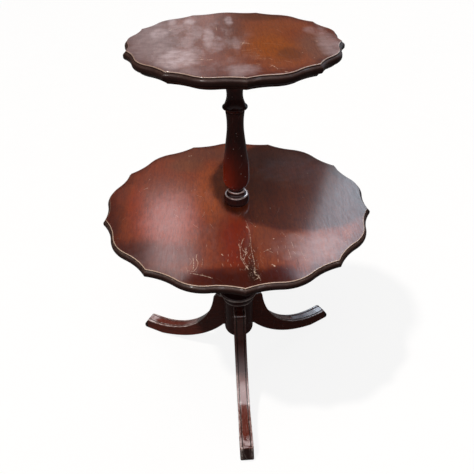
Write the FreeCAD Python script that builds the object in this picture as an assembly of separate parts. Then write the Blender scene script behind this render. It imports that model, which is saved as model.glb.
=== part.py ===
import FreeCAD, Part

import math
import os

# Two-tier pie-crust side table: a turned column on three sabre legs carries a scalloped lower top,
# and a slimmer turned column stands on that top and carries a smaller scalloped top.
#
# Frame: millimetres, +Z up. The origin is on the floor, on the axis of the columns.
# One leg, and one cusp of the lower top, points along -Y.

Vector = FreeCAD.Vector
ORIGIN = Vector(0, 0, 0)
UP = Vector(0, 0, 1)
FULL_TURN = 360.0
DIAGONAL = math.sqrt(0.5)

# ---------------------------------------------------------------- driving dimensions

OVERALL_HEIGHT = 892.0  # floor to the surface of the upper top
LOWER_TOP_HEIGHT = 532.0  # floor to the surface of the lower top
BOARD_THICKNESS = 22.5  # both tops
LEG_COUNT = 3
SCALLOPS_PER_LEG = 3  # so that a cusp of the lower top stands over every leg

# Plan of each top, measured to the line where its flat surface ends.
LOWER_TOP_RADIUS = 291.5  # to the cusps and to the crowns of the lobes
LOWER_DIP_DEPTH = 8.5  # of the hollow flanks beside each cusp
UPPER_TOP_RADIUS = 201.0
UPPER_DIP_DEPTH = 6.0
UPPER_TOP_TURN = 3.0  # the upper top's cusps stand this far round from the legs and the lower cusps
DIP_ANGLE = 8.0  # from a cusp to the dip beside it

# Edge moulding of both tops, from the surface down: arris, lip, quirk, ovolo, round, cove.
ARRIS_RADIUS = 1.2
LIP_DEPTH = 2.6
QUIRK_REACH = 0.9
QUIRK_DROP = 0.6
MOULDING_REACH = 5.0  # furthest projection past the flat surface's line
OVOLO_DEPTH = 7.3
ROUND_DEPTH = 6.0
ROUND_RETURN = 3.2
COVE_HOLLOW = 1.4
BOTTOM_RETURN = 5.5  # the underside ends this far inside the flat surface's line

# Upper column. Heights are above the lower top's surface; drops are below the column's shoulder.
POST_BASE_RADIUS = 28.6
POST_BASE_HEIGHT = 21.0
POST_BASE_LIP_RADIUS = 25.2
POST_BASE_FOOT_RADIUS = 24.8
POST_BEAD_RADIUS = 19.0
POST_NECK_RADIUS = 16.6
POST_NECK_HEIGHT = 34.0
POST_BULB_RADIUS = 28.8
POST_BULB_HEIGHT = 70.0
POST_WAIST_RADIUS = 17.6
POST_WAIST_DROP = 130.0
POST_KNOP_FOOT_RADIUS = 19.6
POST_KNOP_RADIUS = 26.0
POST_KNOP_DROP = 91.0
POST_THROAT_RADIUS = 16.8
POST_THROAT_DROP = 70.0
POST_CAPITAL_LIP_RADIUS = 26.5
POST_CAPITAL_RADIUS = 29.0
POST_CAPITAL_DROP = 32.0
POST_TENON_DIAMETER = 25.0

# Lower column. Rises are above the legs' top; drops are below the column's shoulder.
HUB_RADIUS = 37.0
HUB_BELOW_LEGS = 14.0
HUB_ROUND_WIDTH = 10.0
HUB_ROUND_HEIGHT = 20.0
HUB_TOP_RISE = 3.5
HUB_BEAD_RADIUS = 39.2
HUB_BEAD_HEIGHT = 6.5
RING_RADIUS = 48.5
RING_RISE = 29.5
RING_HEIGHT = 12.0
PILLAR_NECK_RADIUS = 21.0
PILLAR_NECK_RISE = 55.0
PILLAR_BULB_RADIUS = 34.0
PILLAR_BULB_RISE = 92.0
PILLAR_WAIST_RADIUS = 20.5
PILLAR_WAIST_DROP = 76.0
PILLAR_KNOP_FOOT_RADIUS = 22.5
PILLAR_KNOP_RADIUS = 30.0
PILLAR_KNOP_DROP = 48.0
PILLAR_THROAT_RADIUS = 20.0
PILLAR_THROAT_DROP = 31.0
PILLAR_CAPITAL_LIP_RADIUS = 33.5
PILLAR_CAPITAL_RADIUS = 36.0
PILLAR_CAPITAL_DROP = 14.0
PILLAR_TENON_DIAMETER = 32.0

# Swelling of both columns: (share of the radius, share of the height) between neck, bulb and waist.
SWELL_BELOW_BULB = ((0.25, 0.17), (0.61, 0.34), (0.88, 0.55))
SWELL_ABOVE_BULB = ((0.93, 0.22), (0.67, 0.40), (0.30, 0.68))

# Mounting blocks, glued to the columns' tenons and screwed to the tops.
UPPER_BLOCK_RADIUS = 62.0
LOWER_BLOCK_RADIUS = 78.0
BLOCK_THICKNESS = 19.0
BLOCK_EDGE_ROUND = 5.0
UPPER_SCREW_CIRCLE = 46.0
LOWER_SCREW_CIRCLE = 60.0
BLOCK_SCREW_COUNT = 4
BLOCK_SCREW_AZIMUTH = 45.0
TENON_SHORTFALL = 1.0  # a tenon stops this far below the top

# Countersunk wood screws of the blocks.
SCREW_DIAMETER = 4.2
SCREW_LENGTH = 32.0
SCREW_POINT_LENGTH = 5.0
SCREW_HEAD_DIAMETER = 8.4
SCREW_HEAD_DEPTH = 2.6
SCREW_SLOT_WIDTH = 1.0
SCREW_SLOT_DEPTH = 1.1

# Tie rod that draws the upper column, the lower top and the lower column together.
ROD_DIAMETER = 8.0
ROD_REACH_IN_POST = 46.0
ROD_BELOW_NUT = 3.0
ROD_END_ROOM = 6.0  # bore left above the rod
ROD_CHAMFER = 1.0
INSERT_DIAMETER = 13.0
INSERT_LENGTH = 22.0
WASHER_DIAMETER = 24.0
WASHER_THICKNESS = 1.8
NUT_ACROSS_FLATS = 13.0
NUT_HEIGHT = 6.5
NUT_RECESS_DIAMETER = 28.0
NUT_RECESS_DEPTH = 16.0

# Sabre leg, drawn in its own upright plane: distance out from the axis, and height.
LEG_WIDTH = 30.0
LEG_TOP_HEIGHT = 236.0  # of the upper face at the hub
LEG_TOP_FALL = 3.0  # from the hub to the shoulder
LEG_SHOULDER_OUT = 65.5
LEG_SHOULDER_ROUND = 14.0
UNDERSIDE_BOW = 23.8  # of the underside's arc, off the straight way from hub to heel
LEG_JOINT_HEIGHT = 98.0  # of the face that meets the hub
TOE_OUT = 315.0
TOE_HEIGHT = 32.5
TOE_SLANT = 17.0  # the sole reaches this far past the upper face
TOE_FLAT = 19.0  # level stretch of the upper face
SOLE_LENGTH = 66.0
TOE_ROUND = 3.0
LEG_EDGE_ROUND = 1.5
LEG_BEAD_WIDTH = 4.6  # raised band along each side of the upper face
LEG_GROOVE_WIDTH = 2.6
LEG_GROOVE_DEPTH = 1.4

# Dowels between each leg and the hub.
DOWEL_DIAMETER = 10.0
DOWEL_IN_HUB = 19.0
DOWEL_IN_LEG = 24.0
DOWEL_CHAMFER = 1.2
DOWEL_END_ROOM = 0.8
DOWEL_INSET = 24.0  # from the top and bottom of the leg's joint

# Nail-on glides under the toes.
GLIDE_DIAMETER = 19.0
GLIDE_HEIGHT = 3.5
GLIDE_EDGE_ROUND = 2.5
GLIDE_NAIL_DIAMETER = 2.4
GLIDE_NAIL_LENGTH = 15.0
GLIDE_BEHIND_TOE = 28.0

# Fits, on the radius or on each side.
GLUE_FIT = 0.1  # around a tenon or dowel, and behind a leg's cove
SCREW_FIT = 0.05  # around a screw, nail or insert in wood
HOLE_FIT = 0.5  # around the tie rod in wood
THREAD_FIT = 0.05  # around the tie rod in steel

# ---------------------------------------------------------------- derived places

SCALLOPS = LEG_COUNT * SCALLOPS_PER_LEG
SCALLOP_ANGLE = FULL_TURN / SCALLOPS
LEG_ANGLE = FULL_TURN / LEG_COUNT
FRONT = -90.0  # azimuth of the front leg and of the lower top's front cusp
UPPER_TOP_UNDERSIDE = OVERALL_HEIGHT - BOARD_THICKNESS
LOWER_TOP_UNDERSIDE = LOWER_TOP_HEIGHT - BOARD_THICKNESS
POST_SHOULDER = UPPER_TOP_UNDERSIDE - BLOCK_THICKNESS
PILLAR_SHOULDER = LOWER_TOP_UNDERSIDE - BLOCK_THICKNESS
UNDERSIDE_AT_HUB = LEG_TOP_HEIGHT - LEG_JOINT_HEIGHT
HUB_BOTTOM = UNDERSIDE_AT_HUB - HUB_BELOW_LEGS
HUB_TOP = LEG_TOP_HEIGHT + HUB_TOP_RISE
LOWER_DOWEL_HEIGHT = UNDERSIDE_AT_HUB + DOWEL_INSET
UPPER_DOWEL_HEIGHT = LEG_TOP_HEIGHT - DOWEL_INSET
NUT_SEAT = HUB_BOTTOM + NUT_RECESS_DEPTH
ROD_BOTTOM = NUT_SEAT - WASHER_THICKNESS - NUT_HEIGHT - ROD_BELOW_NUT
ROD_TOP = LOWER_TOP_HEIGHT + ROD_REACH_IN_POST
SOLE_HEIGHT = GLIDE_HEIGHT
TOE_TOP_HEIGHT = SOLE_HEIGHT + TOE_HEIGHT
TOE_TOP_OUT = TOE_OUT - TOE_SLANT
SWEEP_END_OUT = TOE_TOP_OUT - TOE_FLAT
LEG_SHOULDER_HEIGHT = LEG_TOP_HEIGHT - LEG_TOP_FALL
GLIDE_OUT = TOE_OUT - GLIDE_BEHIND_TOE
LEG_NODES = ("leg_front", "leg_right", "leg_left")

# ---------------------------------------------------------------- helpers


def at(out, height):
    """A point of a turned profile, or of a leg's side view."""
    return Vector(out, 0, height)


def polar(out, azimuth, height=0.0):
    angle = math.radians(azimuth)
    return Vector(out * math.cos(angle), out * math.sin(angle), height)


def mix(low, high, share):
    return low + (high - low) * share


def line(start, end):
    return Part.LineSegment(start, end).toShape()


def arc(start, through, end):
    return Part.Arc(start, through, end).toShape()


def quarter(start, end, corner):
    """A rounded corner: bulges from the straight way between start and end towards corner."""
    middle = corner + (start + end - corner * 2) * (1 - DIAGONAL)
    return arc(start, middle, end)


def curve(points):
    """A smooth curve through the points, upright at both ends."""
    spline = Part.BSplineCurve()
    spline.interpolate(Points=points, InitialTangent=UP, FinalTangent=UP, Scale=False)
    return spline.toShape()


def turned(edges):
    """A solid turned about the upright axis, from the edges of half its section."""
    return Part.Face(Part.Wire(edges)).revolve(ORIGIN, UP, FULL_TURN)


def pin(diameter, bottom, top, place=ORIGIN):
    """An upright cylinder between two heights."""
    foot = Vector(place.x, place.y, bottom)
    return Part.makeCylinder(diameter / 2, top - bottom, foot, UP)


def ring(outer, inner, bottom, top):
    return pin(outer, bottom, top).cut(pin(inner, bottom, top))


def spun(shape, azimuth):
    """A copy turned about the table's axis."""
    copy = shape.copy()
    copy.rotate(ORIGIN, UP, azimuth)
    return copy


def joined(shapes):
    """One solid from pieces that overlap or share faces."""
    return shapes[0].multiFuse(shapes[1:]).removeSplitter().Solids[0]


def edges_where(shape, test):
    return [edge for edge in shape.Edges if test(edge.BoundBox)]


# ---------------------------------------------------------------- scalloped tops


def moulding_waste(place, outward):
    """Section of the wood that the edge moulding takes away, with the surface's line at place."""
    spare = 3.0
    quirk_depth = LIP_DEPTH + QUIRK_DROP
    ovolo_depth = quirk_depth + OVOLO_DEPTH
    round_depth = ovolo_depth + ROUND_DEPTH
    round_reach = MOULDING_REACH - ROUND_RETURN

    def point(out, depth):
        return place + outward * out - UP * depth

    surface = point(-ARRIS_RADIUS, 0)
    arris = point(0, ARRIS_RADIUS)
    lip = point(0, LIP_DEPTH)
    quirk = point(QUIRK_REACH, quirk_depth)
    widest = point(MOULDING_REACH, ovolo_depth)
    under = point(round_reach, round_depth)
    bottom = point(-BOTTOM_RETURN, BOARD_THICKNESS)
    hollow = (under + bottom) * 0.5 - (outward - UP) * (COVE_HOLLOW * DIAGONAL)
    corners = [
        bottom,
        point(-BOTTOM_RETURN, BOARD_THICKNESS + spare),
        point(MOULDING_REACH + spare, BOARD_THICKNESS + spare),
        point(MOULDING_REACH + spare, -spare),
        point(-ARRIS_RADIUS, -spare),
        surface,
    ]
    edges = [
        quarter(surface, arris, point(0, 0)),
        line(arris, lip),
        line(lip, quirk),
        quarter(quirk, widest, point(MOULDING_REACH, quirk_depth)),
        quarter(widest, under, point(MOULDING_REACH, round_depth)),
        arc(under, hollow, bottom),
    ]
    edges += [line(start, end) for start, end in zip(corners, corners[1:])]
    return Part.Face(Part.Wire(edges))


def half_scallop(radius, dip_depth):
    """Half of one scallop, from its cusp along +X to the crown of its lobe, surface at height 0.

    Its edge is two arcs: the hollow flank's, whose centre lies outside the board beyond the dip,
    and the round crown's, whose centre lies inside. The moulding is turned about both centres.
    Past the cusp the flank's waste runs on, so two half scallops meet there in a mitre.
    """
    half = SCALLOP_ANGLE / 2
    over_cusp = 6.0
    dip = radius - dip_depth
    dip_cos = math.cos(math.radians(DIP_ANGLE))
    rest_cos = math.cos(math.radians(half - DIP_ANGLE))
    flank = (dip**2 + radius**2 - 2 * radius * dip * dip_cos) / (2 * (radius * dip_cos - dip))
    reach = dip + flank
    crown = (reach**2 + radius**2 - 2 * reach * radius * rest_cos - flank**2) / (
        2 * (radius - reach * rest_cos + flank)
    )
    flank_centre = polar(reach, DIP_ANGLE)
    crown_centre = polar(radius - crown, half)
    inward = (crown_centre - flank_centre).normalize()
    join = flank_centre + inward * flank

    outer_flank = flank - MOULDING_REACH
    outer_cusp = Vector(flank_centre.x - math.sqrt(outer_flank**2 - flank_centre.y**2), 0, 0)
    outer_join = flank_centre + inward * outer_flank
    outer_crown = polar(radius + MOULDING_REACH, half)
    crown_way = (outer_join - crown_centre).normalize() + (outer_crown - crown_centre).normalize()
    crown_middle = crown_centre + crown_way.normalize() * (crown + MOULDING_REACH)
    plan = [
        line(ORIGIN, outer_cusp),
        arc(outer_cusp, polar(reach - outer_flank, DIP_ANGLE), outer_join),
        arc(outer_join, crown_middle, outer_crown),
        line(outer_crown, ORIGIN),
    ]
    blank = Part.Face(Part.Wire(plan)).extrude(UP * -BOARD_THICKNESS)

    flank_turn = math.degrees(inward.getAngle(Vector(radius, 0, 0) - flank_centre))
    crown_turn = math.degrees((inward * -1).getAngle(polar(1, half)))
    flank_waste = moulding_waste(join, inward * -1)
    crown_waste = moulding_waste(join, inward * -1)
    return blank.cut(
        [
            flank_waste.revolve(flank_centre, UP, flank_turn + over_cusp),
            crown_waste.revolve(crown_centre, UP, crown_turn),
        ]
    )


def scalloped_board(radius, dip_depth, surface_height):
    half = half_scallop(radius, dip_depth)
    mirror_plane = polar(1, (SCALLOP_ANGLE + FULL_TURN / 2) / 2)
    scallop = joined([half, half.mirror(ORIGIN, mirror_plane)])
    board = joined([spun(scallop, FRONT + n * SCALLOP_ANGLE) for n in range(SCALLOPS)])
    board.translate(UP * surface_height)
    return board


def upper_top():
    board = scalloped_board(UPPER_TOP_RADIUS, UPPER_DIP_DEPTH, OVERALL_HEIGHT)
    board = spun(board, UPPER_TOP_TURN)
    return board.cut(block_screws(UPPER_TOP_UNDERSIDE, UPPER_SCREW_CIRCLE, SCREW_FIT))


def lower_top():
    board = scalloped_board(LOWER_TOP_RADIUS, LOWER_DIP_DEPTH, LOWER_TOP_HEIGHT)
    board = board.cut(block_screws(LOWER_TOP_UNDERSIDE, LOWER_SCREW_CIRCLE, SCREW_FIT))
    return board.cut(rod_hole())


# ---------------------------------------------------------------- mounting blocks and their screws


def block(radius, tenon_diameter, underside):
    """A round block, its lower edge rounded, bored through for the column's tenon."""
    top = underside + BLOCK_THICKNESS
    bore = tenon_diameter / 2 + GLUE_FIT
    round_start = at(radius - BLOCK_EDGE_ROUND, underside)
    round_end = at(radius, underside + BLOCK_EDGE_ROUND)
    return turned(
        [
            line(at(bore, underside), round_start),
            quarter(round_start, round_end, at(radius, underside)),
            line(round_end, at(radius, top)),
            line(at(radius, top), at(bore, top)),
            line(at(bore, top), at(bore, underside)),
        ]
    )


def wood_screw(top_underside, place, fit):
    """A countersunk screw, head down, flush with the block; with a fit it is the screw's hole."""
    head_face = top_underside - BLOCK_THICKNESS
    neck = head_face + SCREW_HEAD_DEPTH
    point = head_face + SCREW_LENGTH
    head_radius = SCREW_HEAD_DIAMETER / 2 + fit
    shank_radius = SCREW_DIAMETER / 2 + fit
    body = turned(
        [
            line(at(0, head_face), at(head_radius, head_face)),
            line(at(head_radius, head_face), at(shank_radius, neck)),
            line(at(shank_radius, neck), at(shank_radius, point - SCREW_POINT_LENGTH)),
            line(at(shank_radius, point - SCREW_POINT_LENGTH), at(0, point + fit)),
            line(at(0, point + fit), at(0, head_face)),
        ]
    )
    if fit == 0:
        slot = Part.makeBox(SCREW_HEAD_DIAMETER, SCREW_SLOT_WIDTH, SCREW_SLOT_DEPTH)
        slot.translate(Vector(-SCREW_HEAD_DIAMETER / 2, -SCREW_SLOT_WIDTH / 2, head_face))
        body = body.cut(slot)
    body.translate(place)
    return body


def block_screws(top_underside, circle, fit=0):
    step = FULL_TURN / BLOCK_SCREW_COUNT
    places = [polar(circle, BLOCK_SCREW_AZIMUTH + n * step) for n in range(BLOCK_SCREW_COUNT)]
    return [wood_screw(top_underside, place, fit) for place in places]


def upper_block():
    body = block(UPPER_BLOCK_RADIUS, POST_TENON_DIAMETER, POST_SHOULDER)
    return body.cut(block_screws(UPPER_TOP_UNDERSIDE, UPPER_SCREW_CIRCLE, SCREW_FIT))


def lower_block():
    body = block(LOWER_BLOCK_RADIUS, PILLAR_TENON_DIAMETER, PILLAR_SHOULDER)
    return body.cut(block_screws(LOWER_TOP_UNDERSIDE, LOWER_SCREW_CIRCLE, SCREW_FIT))


# ---------------------------------------------------------------- turned columns


def between(start, end, radius_share, height_share):
    return at(mix(start.x, end.x, radius_share), mix(start.z, end.z, height_share))


def baluster(neck, bulb, waist):
    """The long swelling of a column: fast out of the neck, full at the bulb, slow to the waist."""
    below = [between(neck, bulb, *shares) for shares in SWELL_BELOW_BULB]
    above = [between(waist, bulb, share, 1 - rise) for share, rise in SWELL_ABOVE_BULB]
    return curve([neck] + below + [bulb] + above + [waist])


def knop_edges(waist, foot_radius, knop, throat):
    """A sharp-shouldered ring: fillet, hollow underside, rounded rim, hollow flare to the throat."""
    rim = 2.6
    foot_depth = 9.5
    fillet = 1.6
    ledge = 1.0
    foot_top = at(foot_radius, knop.z - foot_depth)
    foot_low = foot_top - UP * fillet
    step = at(foot_radius - ledge, foot_top.z)
    rim_low = at(knop.x - rim, knop.z - rim)
    rim_high = at(knop.x - rim, knop.z + rim)
    return [
        arc(waist, between(waist, foot_low, 0.3, 0.6), foot_low),
        line(foot_low, foot_top),
        line(foot_top, step),
        arc(step, between(step, rim_low, 0.32, 0.62), rim_low),
        arc(rim_low, knop, rim_high),
        arc(rim_high, between(throat, rim_high, 0.24, 0.38), throat),
    ]


def capital_edges(throat, lip_radius, radius, lip_height, shoulder):
    """The flare above the throat, a small lip, and a cushion up to the column's shoulder."""
    lip = 2.0
    flare_end = at(lip_radius, lip_height)
    lip_top = at(lip_radius, lip_height + lip)
    step = at(lip_radius - lip / 2, lip_top.z)
    edge = at(step.x, shoulder)
    return [
        arc(throat, between(throat, flare_end, 0.22, 0.6), flare_end),
        line(flare_end, lip_top),
        line(lip_top, step),
        arc(step, at(radius, (step.z + shoulder) / 2), edge),
    ]


def tenon_edges(edge_radius, shoulder, diameter, bottom):
    """The shoulder and its tenon, then back down the axis to the column's bottom."""
    top = shoulder + BLOCK_THICKNESS - TENON_SHORTFALL
    radius = diameter / 2
    corners = [
        at(edge_radius, shoulder),
        at(radius, shoulder),
        at(radius, top),
        at(0, top),
        at(0, bottom),
    ]
    return [line(start, end) for start, end in zip(corners, corners[1:])]


def upper_post():
    """Upper column: cushion base, bead, baluster, knop, throat, capital and tenon."""
    floor = LOWER_TOP_HEIGHT
    lip_height = 1.2
    bead_height = 5.5
    bead_ledge = 0.6
    foot = at(POST_BASE_FOOT_RADIUS, floor)
    base_top = at(POST_BASE_LIP_RADIUS, floor + POST_BASE_HEIGHT)
    lip_top = base_top + UP * lip_height
    lip_step = at(lip_top.x - lip_height, lip_top.z)
    neck = at(POST_NECK_RADIUS, floor + POST_NECK_HEIGHT)
    bead_low = neck + at(bead_ledge, -bead_height)
    waist = at(POST_WAIST_RADIUS, POST_SHOULDER - POST_WAIST_DROP)
    throat = at(POST_THROAT_RADIUS, POST_SHOULDER - POST_THROAT_DROP)
    edges = [
        line(at(0, floor), foot),
        arc(foot, at(POST_BASE_RADIUS, (floor + base_top.z) / 2), base_top),
        line(base_top, lip_top),
        line(lip_top, lip_step),
        arc(lip_step, between(bead_low, lip_step, 0.24, 0.58), bead_low),
        arc(bead_low, at(POST_BEAD_RADIUS, neck.z - bead_height / 2), neck),
        baluster(neck, at(POST_BULB_RADIUS, floor + POST_BULB_HEIGHT), waist),
    ]
    knop = at(POST_KNOP_RADIUS, POST_SHOULDER - POST_KNOP_DROP)
    edges += knop_edges(waist, POST_KNOP_FOOT_RADIUS, knop, throat)
    edges += capital_edges(
        throat,
        POST_CAPITAL_LIP_RADIUS,
        POST_CAPITAL_RADIUS,
        POST_SHOULDER - POST_CAPITAL_DROP,
        POST_SHOULDER,
    )
    edges += tenon_edges(edges[-1].Vertexes[-1].X, POST_SHOULDER, POST_TENON_DIAMETER, floor)
    rod_room = pin(ROD_DIAMETER + 2 * HOLE_FIT, floor, ROD_TOP + ROD_END_ROOM)
    insert_room = pin(INSERT_DIAMETER + 2 * SCREW_FIT, floor, floor + INSERT_LENGTH)
    return turned(edges).cut([rod_room, insert_room])


def pillar():
    """Lower column: hub for the legs, bead, ring, baluster, knop, capital and tenon."""
    ring_edge = 4.5
    ring_ledge = 2.0
    round_start = at(HUB_RADIUS - HUB_ROUND_WIDTH, HUB_BOTTOM)
    round_end = at(HUB_RADIUS, HUB_BOTTOM + HUB_ROUND_HEIGHT)
    round_corner = at(HUB_RADIUS, HUB_BOTTOM)
    bead_low = at(HUB_RADIUS, HUB_TOP)
    bead_high = at(HUB_RADIUS, HUB_TOP + HUB_BEAD_HEIGHT)
    ring_low = at(RING_RADIUS - ring_edge, LEG_TOP_HEIGHT + RING_RISE - RING_HEIGHT / 2)
    ring_high = ring_low + UP * RING_HEIGHT
    ring_step = at(ring_high.x - ring_ledge, ring_high.z)
    neck = at(PILLAR_NECK_RADIUS, LEG_TOP_HEIGHT + PILLAR_NECK_RISE)
    waist = at(PILLAR_WAIST_RADIUS, PILLAR_SHOULDER - PILLAR_WAIST_DROP)
    throat = at(PILLAR_THROAT_RADIUS, PILLAR_SHOULDER - PILLAR_THROAT_DROP)
    edges = [
        line(at(0, HUB_BOTTOM), round_start),
        quarter(round_start, round_end, round_corner),
        line(round_end, bead_low),
        arc(bead_low, at(HUB_BEAD_RADIUS, HUB_TOP + HUB_BEAD_HEIGHT / 2), bead_high),
        arc(bead_high, between(bead_high, ring_low, 0.15, 0.6), ring_low),
        arc(ring_low, at(RING_RADIUS, (ring_low.z + ring_high.z) / 2), ring_high),
        line(ring_high, ring_step),
        arc(ring_step, between(neck, ring_step, 0.25, 0.58), neck),
        baluster(neck, at(PILLAR_BULB_RADIUS, LEG_TOP_HEIGHT + PILLAR_BULB_RISE), waist),
    ]
    knop = at(PILLAR_KNOP_RADIUS, PILLAR_SHOULDER - PILLAR_KNOP_DROP)
    edges += knop_edges(waist, PILLAR_KNOP_FOOT_RADIUS, knop, throat)
    edges += capital_edges(
        throat,
        PILLAR_CAPITAL_LIP_RADIUS,
        PILLAR_CAPITAL_RADIUS,
        PILLAR_SHOULDER - PILLAR_CAPITAL_DROP,
        PILLAR_SHOULDER,
    )
    edges += tenon_edges(
        edges[-1].Vertexes[-1].X, PILLAR_SHOULDER, PILLAR_TENON_DIAMETER, HUB_BOTTOM
    )
    nut_room = pin(NUT_RECESS_DIAMETER, HUB_BOTTOM, NUT_SEAT)
    holes = [spun(hole, FRONT + n * LEG_ANGLE) for n in range(LEG_COUNT) for hole in dowel_holes()]
    return turned(edges).cut([rod_hole(), nut_room] + holes)


# ---------------------------------------------------------------- tie rod


def rod_hole():
    return pin(ROD_DIAMETER + 2 * HOLE_FIT, HUB_BOTTOM, LOWER_TOP_HEIGHT)


def tie_rod():
    rod = pin(ROD_DIAMETER, ROD_BOTTOM, ROD_TOP)
    ends = edges_where(rod, lambda box: box.ZLength < ROD_CHAMFER)
    return rod.makeChamfer(ROD_CHAMFER, ends)


def post_insert():
    """Threaded insert in the upper column's base; the tie rod screws into it."""
    bottom = LOWER_TOP_HEIGHT
    return ring(INSERT_DIAMETER, ROD_DIAMETER + 2 * THREAD_FIT, bottom, bottom + INSERT_LENGTH)


def rod_washer():
    bottom = NUT_SEAT - WASHER_THICKNESS
    return ring(WASHER_DIAMETER, ROD_DIAMETER + 2 * HOLE_FIT, bottom, NUT_SEAT)


def rod_nut():
    bottom = NUT_SEAT - WASHER_THICKNESS - NUT_HEIGHT
    corner = NUT_ACROSS_FLATS / math.sqrt(3)
    sides = 6
    corners = [polar(corner, n * FULL_TURN / sides, bottom) for n in range(sides + 1)]
    body = Part.Face(Part.makePolygon(corners)).extrude(UP * NUT_HEIGHT)
    return body.cut(pin(ROD_DIAMETER + 2 * THREAD_FIT, bottom, bottom + NUT_HEIGHT))


# ---------------------------------------------------------------- sabre legs


def leg_slab(top_inset, width, offset):
    """A slab of the leg's side view, width thick and centred at offset across the leg.

    The upper face is a straight top, a rounded shoulder, a hollow sweep that ends level, and a
    flat toe, all set in by top_inset. The underside is one arc down to a flat sole.
    """
    inner = HUB_RADIUS / 2
    slope = LEG_TOP_FALL / (LEG_SHOULDER_OUT - HUB_RADIUS)
    run = SWEEP_END_OUT - LEG_SHOULDER_OUT
    rise = LEG_SHOULDER_HEIGHT - TOE_TOP_HEIGHT
    sweep = (run**2 + rise**2) / (2 * rise)
    centre = at(SWEEP_END_OUT, TOE_TOP_HEIGHT + sweep)
    inset_sweep = sweep + top_inset
    shoulder_fall = math.asin((centre.z - LEG_SHOULDER_HEIGHT + top_inset) / inset_sweep)
    shoulder = centre - at(math.cos(shoulder_fall), math.sin(shoulder_fall)) * inset_sweep
    middle_fall = (shoulder_fall + math.pi / 2) / 2
    sweep_middle = centre - at(math.cos(middle_fall), math.sin(middle_fall)) * inset_sweep
    inner_top = at(inner, shoulder.z + slope * (shoulder.x - inner))
    sweep_end = centre - UP * inset_sweep
    toe_top = at(TOE_TOP_OUT, sweep_end.z)
    toe_end = at(TOE_OUT, SOLE_HEIGHT)
    heel = at(TOE_OUT - SOLE_LENGTH, SOLE_HEIGHT)
    hub_low = at(HUB_RADIUS, UNDERSIDE_AT_HUB)
    inner_low = at(inner, UNDERSIDE_AT_HUB)
    chord = hub_low - heel
    bow = at(-chord.z, chord.x).normalize() * UNDERSIDE_BOW
    side = [
        line(inner_top, shoulder),
        arc(shoulder, sweep_middle, sweep_end),
        line(sweep_end, toe_top),
        line(toe_top, toe_end),
        line(toe_end, heel),
        arc(heel, (heel + hub_low) * 0.5 + bow, hub_low),
        line(hub_low, inner_low),
        line(inner_low, inner_top),
    ]
    across = Vector(0, 1, 0)
    face = Part.Face(Part.Wire(side))
    face.translate(across * (offset - width / 2))
    slab = face.extrude(across * width)
    shoulder_edge = edges_where(slab, lambda box: crosses_leg_at(box, shoulder))
    slab = slab.makeFillet(LEG_SHOULDER_ROUND, shoulder_edge)
    toe_edges = edges_where(
        slab, lambda box: crosses_leg_at(box, toe_top) or crosses_leg_at(box, toe_end)
    )
    return slab.makeFillet(TOE_ROUND, toe_edges)


def crosses_leg_at(box, point):
    """True for an edge that runs straight across the leg through the point of the side view."""
    close = 0.01
    same_out = abs(box.XMin - point.x) < close and abs(box.XMax - point.x) < close
    same_height = abs(box.ZMin - point.z) < close and abs(box.ZMax - point.z) < close
    return same_out and same_height


def leg():
    """A leg along +X: a body with three raised bands on its upper face, coved to fit the hub."""
    groove_inner = LEG_WIDTH / 2 - LEG_BEAD_WIDTH - LEG_GROOVE_WIDTH
    bead_centre = (LEG_WIDTH - LEG_BEAD_WIDTH) / 2
    body = leg_slab(LEG_GROOVE_DEPTH, LEG_WIDTH, 0)
    bands = [
        leg_slab(0, 2 * groove_inner, 0),
        leg_slab(0, LEG_BEAD_WIDTH, bead_centre),
        leg_slab(0, LEG_BEAD_WIDTH, -bead_centre),
    ]
    whole = joined([body] + bands)
    side = LEG_WIDTH / 2
    close = 0.01
    outer_edges = edges_where(
        whole,
        lambda box: abs(abs(box.YMin) - side) < close
        and box.YLength < close
        and box.XMax > HUB_RADIUS,
    )
    whole = whole.makeFillet(LEG_EDGE_ROUND, outer_edges)
    hub_room = pin(2 * (HUB_RADIUS + GLUE_FIT), 0, OVERALL_HEIGHT)
    return whole.cut([hub_room] + dowel_holes())


def dowel(height, fit=0.0, end_room=0.0):
    """A dowel along +X, half in the hub and half in the leg; with a fit it is the dowel's hole."""
    start = at(HUB_RADIUS - DOWEL_IN_HUB - end_room, height)
    length = DOWEL_IN_HUB + DOWEL_IN_LEG + 2 * end_room
    return Part.makeCylinder(DOWEL_DIAMETER / 2 + fit, length, start, Vector(1, 0, 0))


def dowel_holes():
    heights = (LOWER_DOWEL_HEIGHT, UPPER_DOWEL_HEIGHT)
    return [dowel(height, GLUE_FIT, DOWEL_END_ROOM) for height in heights]


def leg_dowels():
    """Two dowels for every leg."""
    pair = []
    for height in (LOWER_DOWEL_HEIGHT, UPPER_DOWEL_HEIGHT):
        body = dowel(height)
        ends = edges_where(body, lambda box: box.XLength < DOWEL_CHAMFER)
        pair.append(body.makeChamfer(DOWEL_CHAMFER, ends))
    return [spun(one, FRONT + n * LEG_ANGLE) for n in range(LEG_COUNT) for one in pair]


# ---------------------------------------------------------------- glides


def glide():
    """A flat-bottomed glide with its nail, under the toe of a leg along +X."""
    radius = GLIDE_DIAMETER / 2
    round_start = at(radius - GLIDE_EDGE_ROUND, 0)
    round_end = at(radius, GLIDE_EDGE_ROUND)
    nail_radius = GLIDE_NAIL_DIAMETER / 2
    nail_top = SOLE_HEIGHT + GLIDE_NAIL_LENGTH
    corners = [
        round_end,
        at(radius, SOLE_HEIGHT),
        at(nail_radius, SOLE_HEIGHT),
        at(nail_radius, nail_top),
        at(0, nail_top),
        ORIGIN,
        round_start,
    ]
    edges = [line(start, end) for start, end in zip(corners, corners[1:])]
    body = turned(edges + [quarter(round_start, round_end, at(radius, 0))])
    body.translate(Vector(GLIDE_OUT, 0, 0))
    return body


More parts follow.
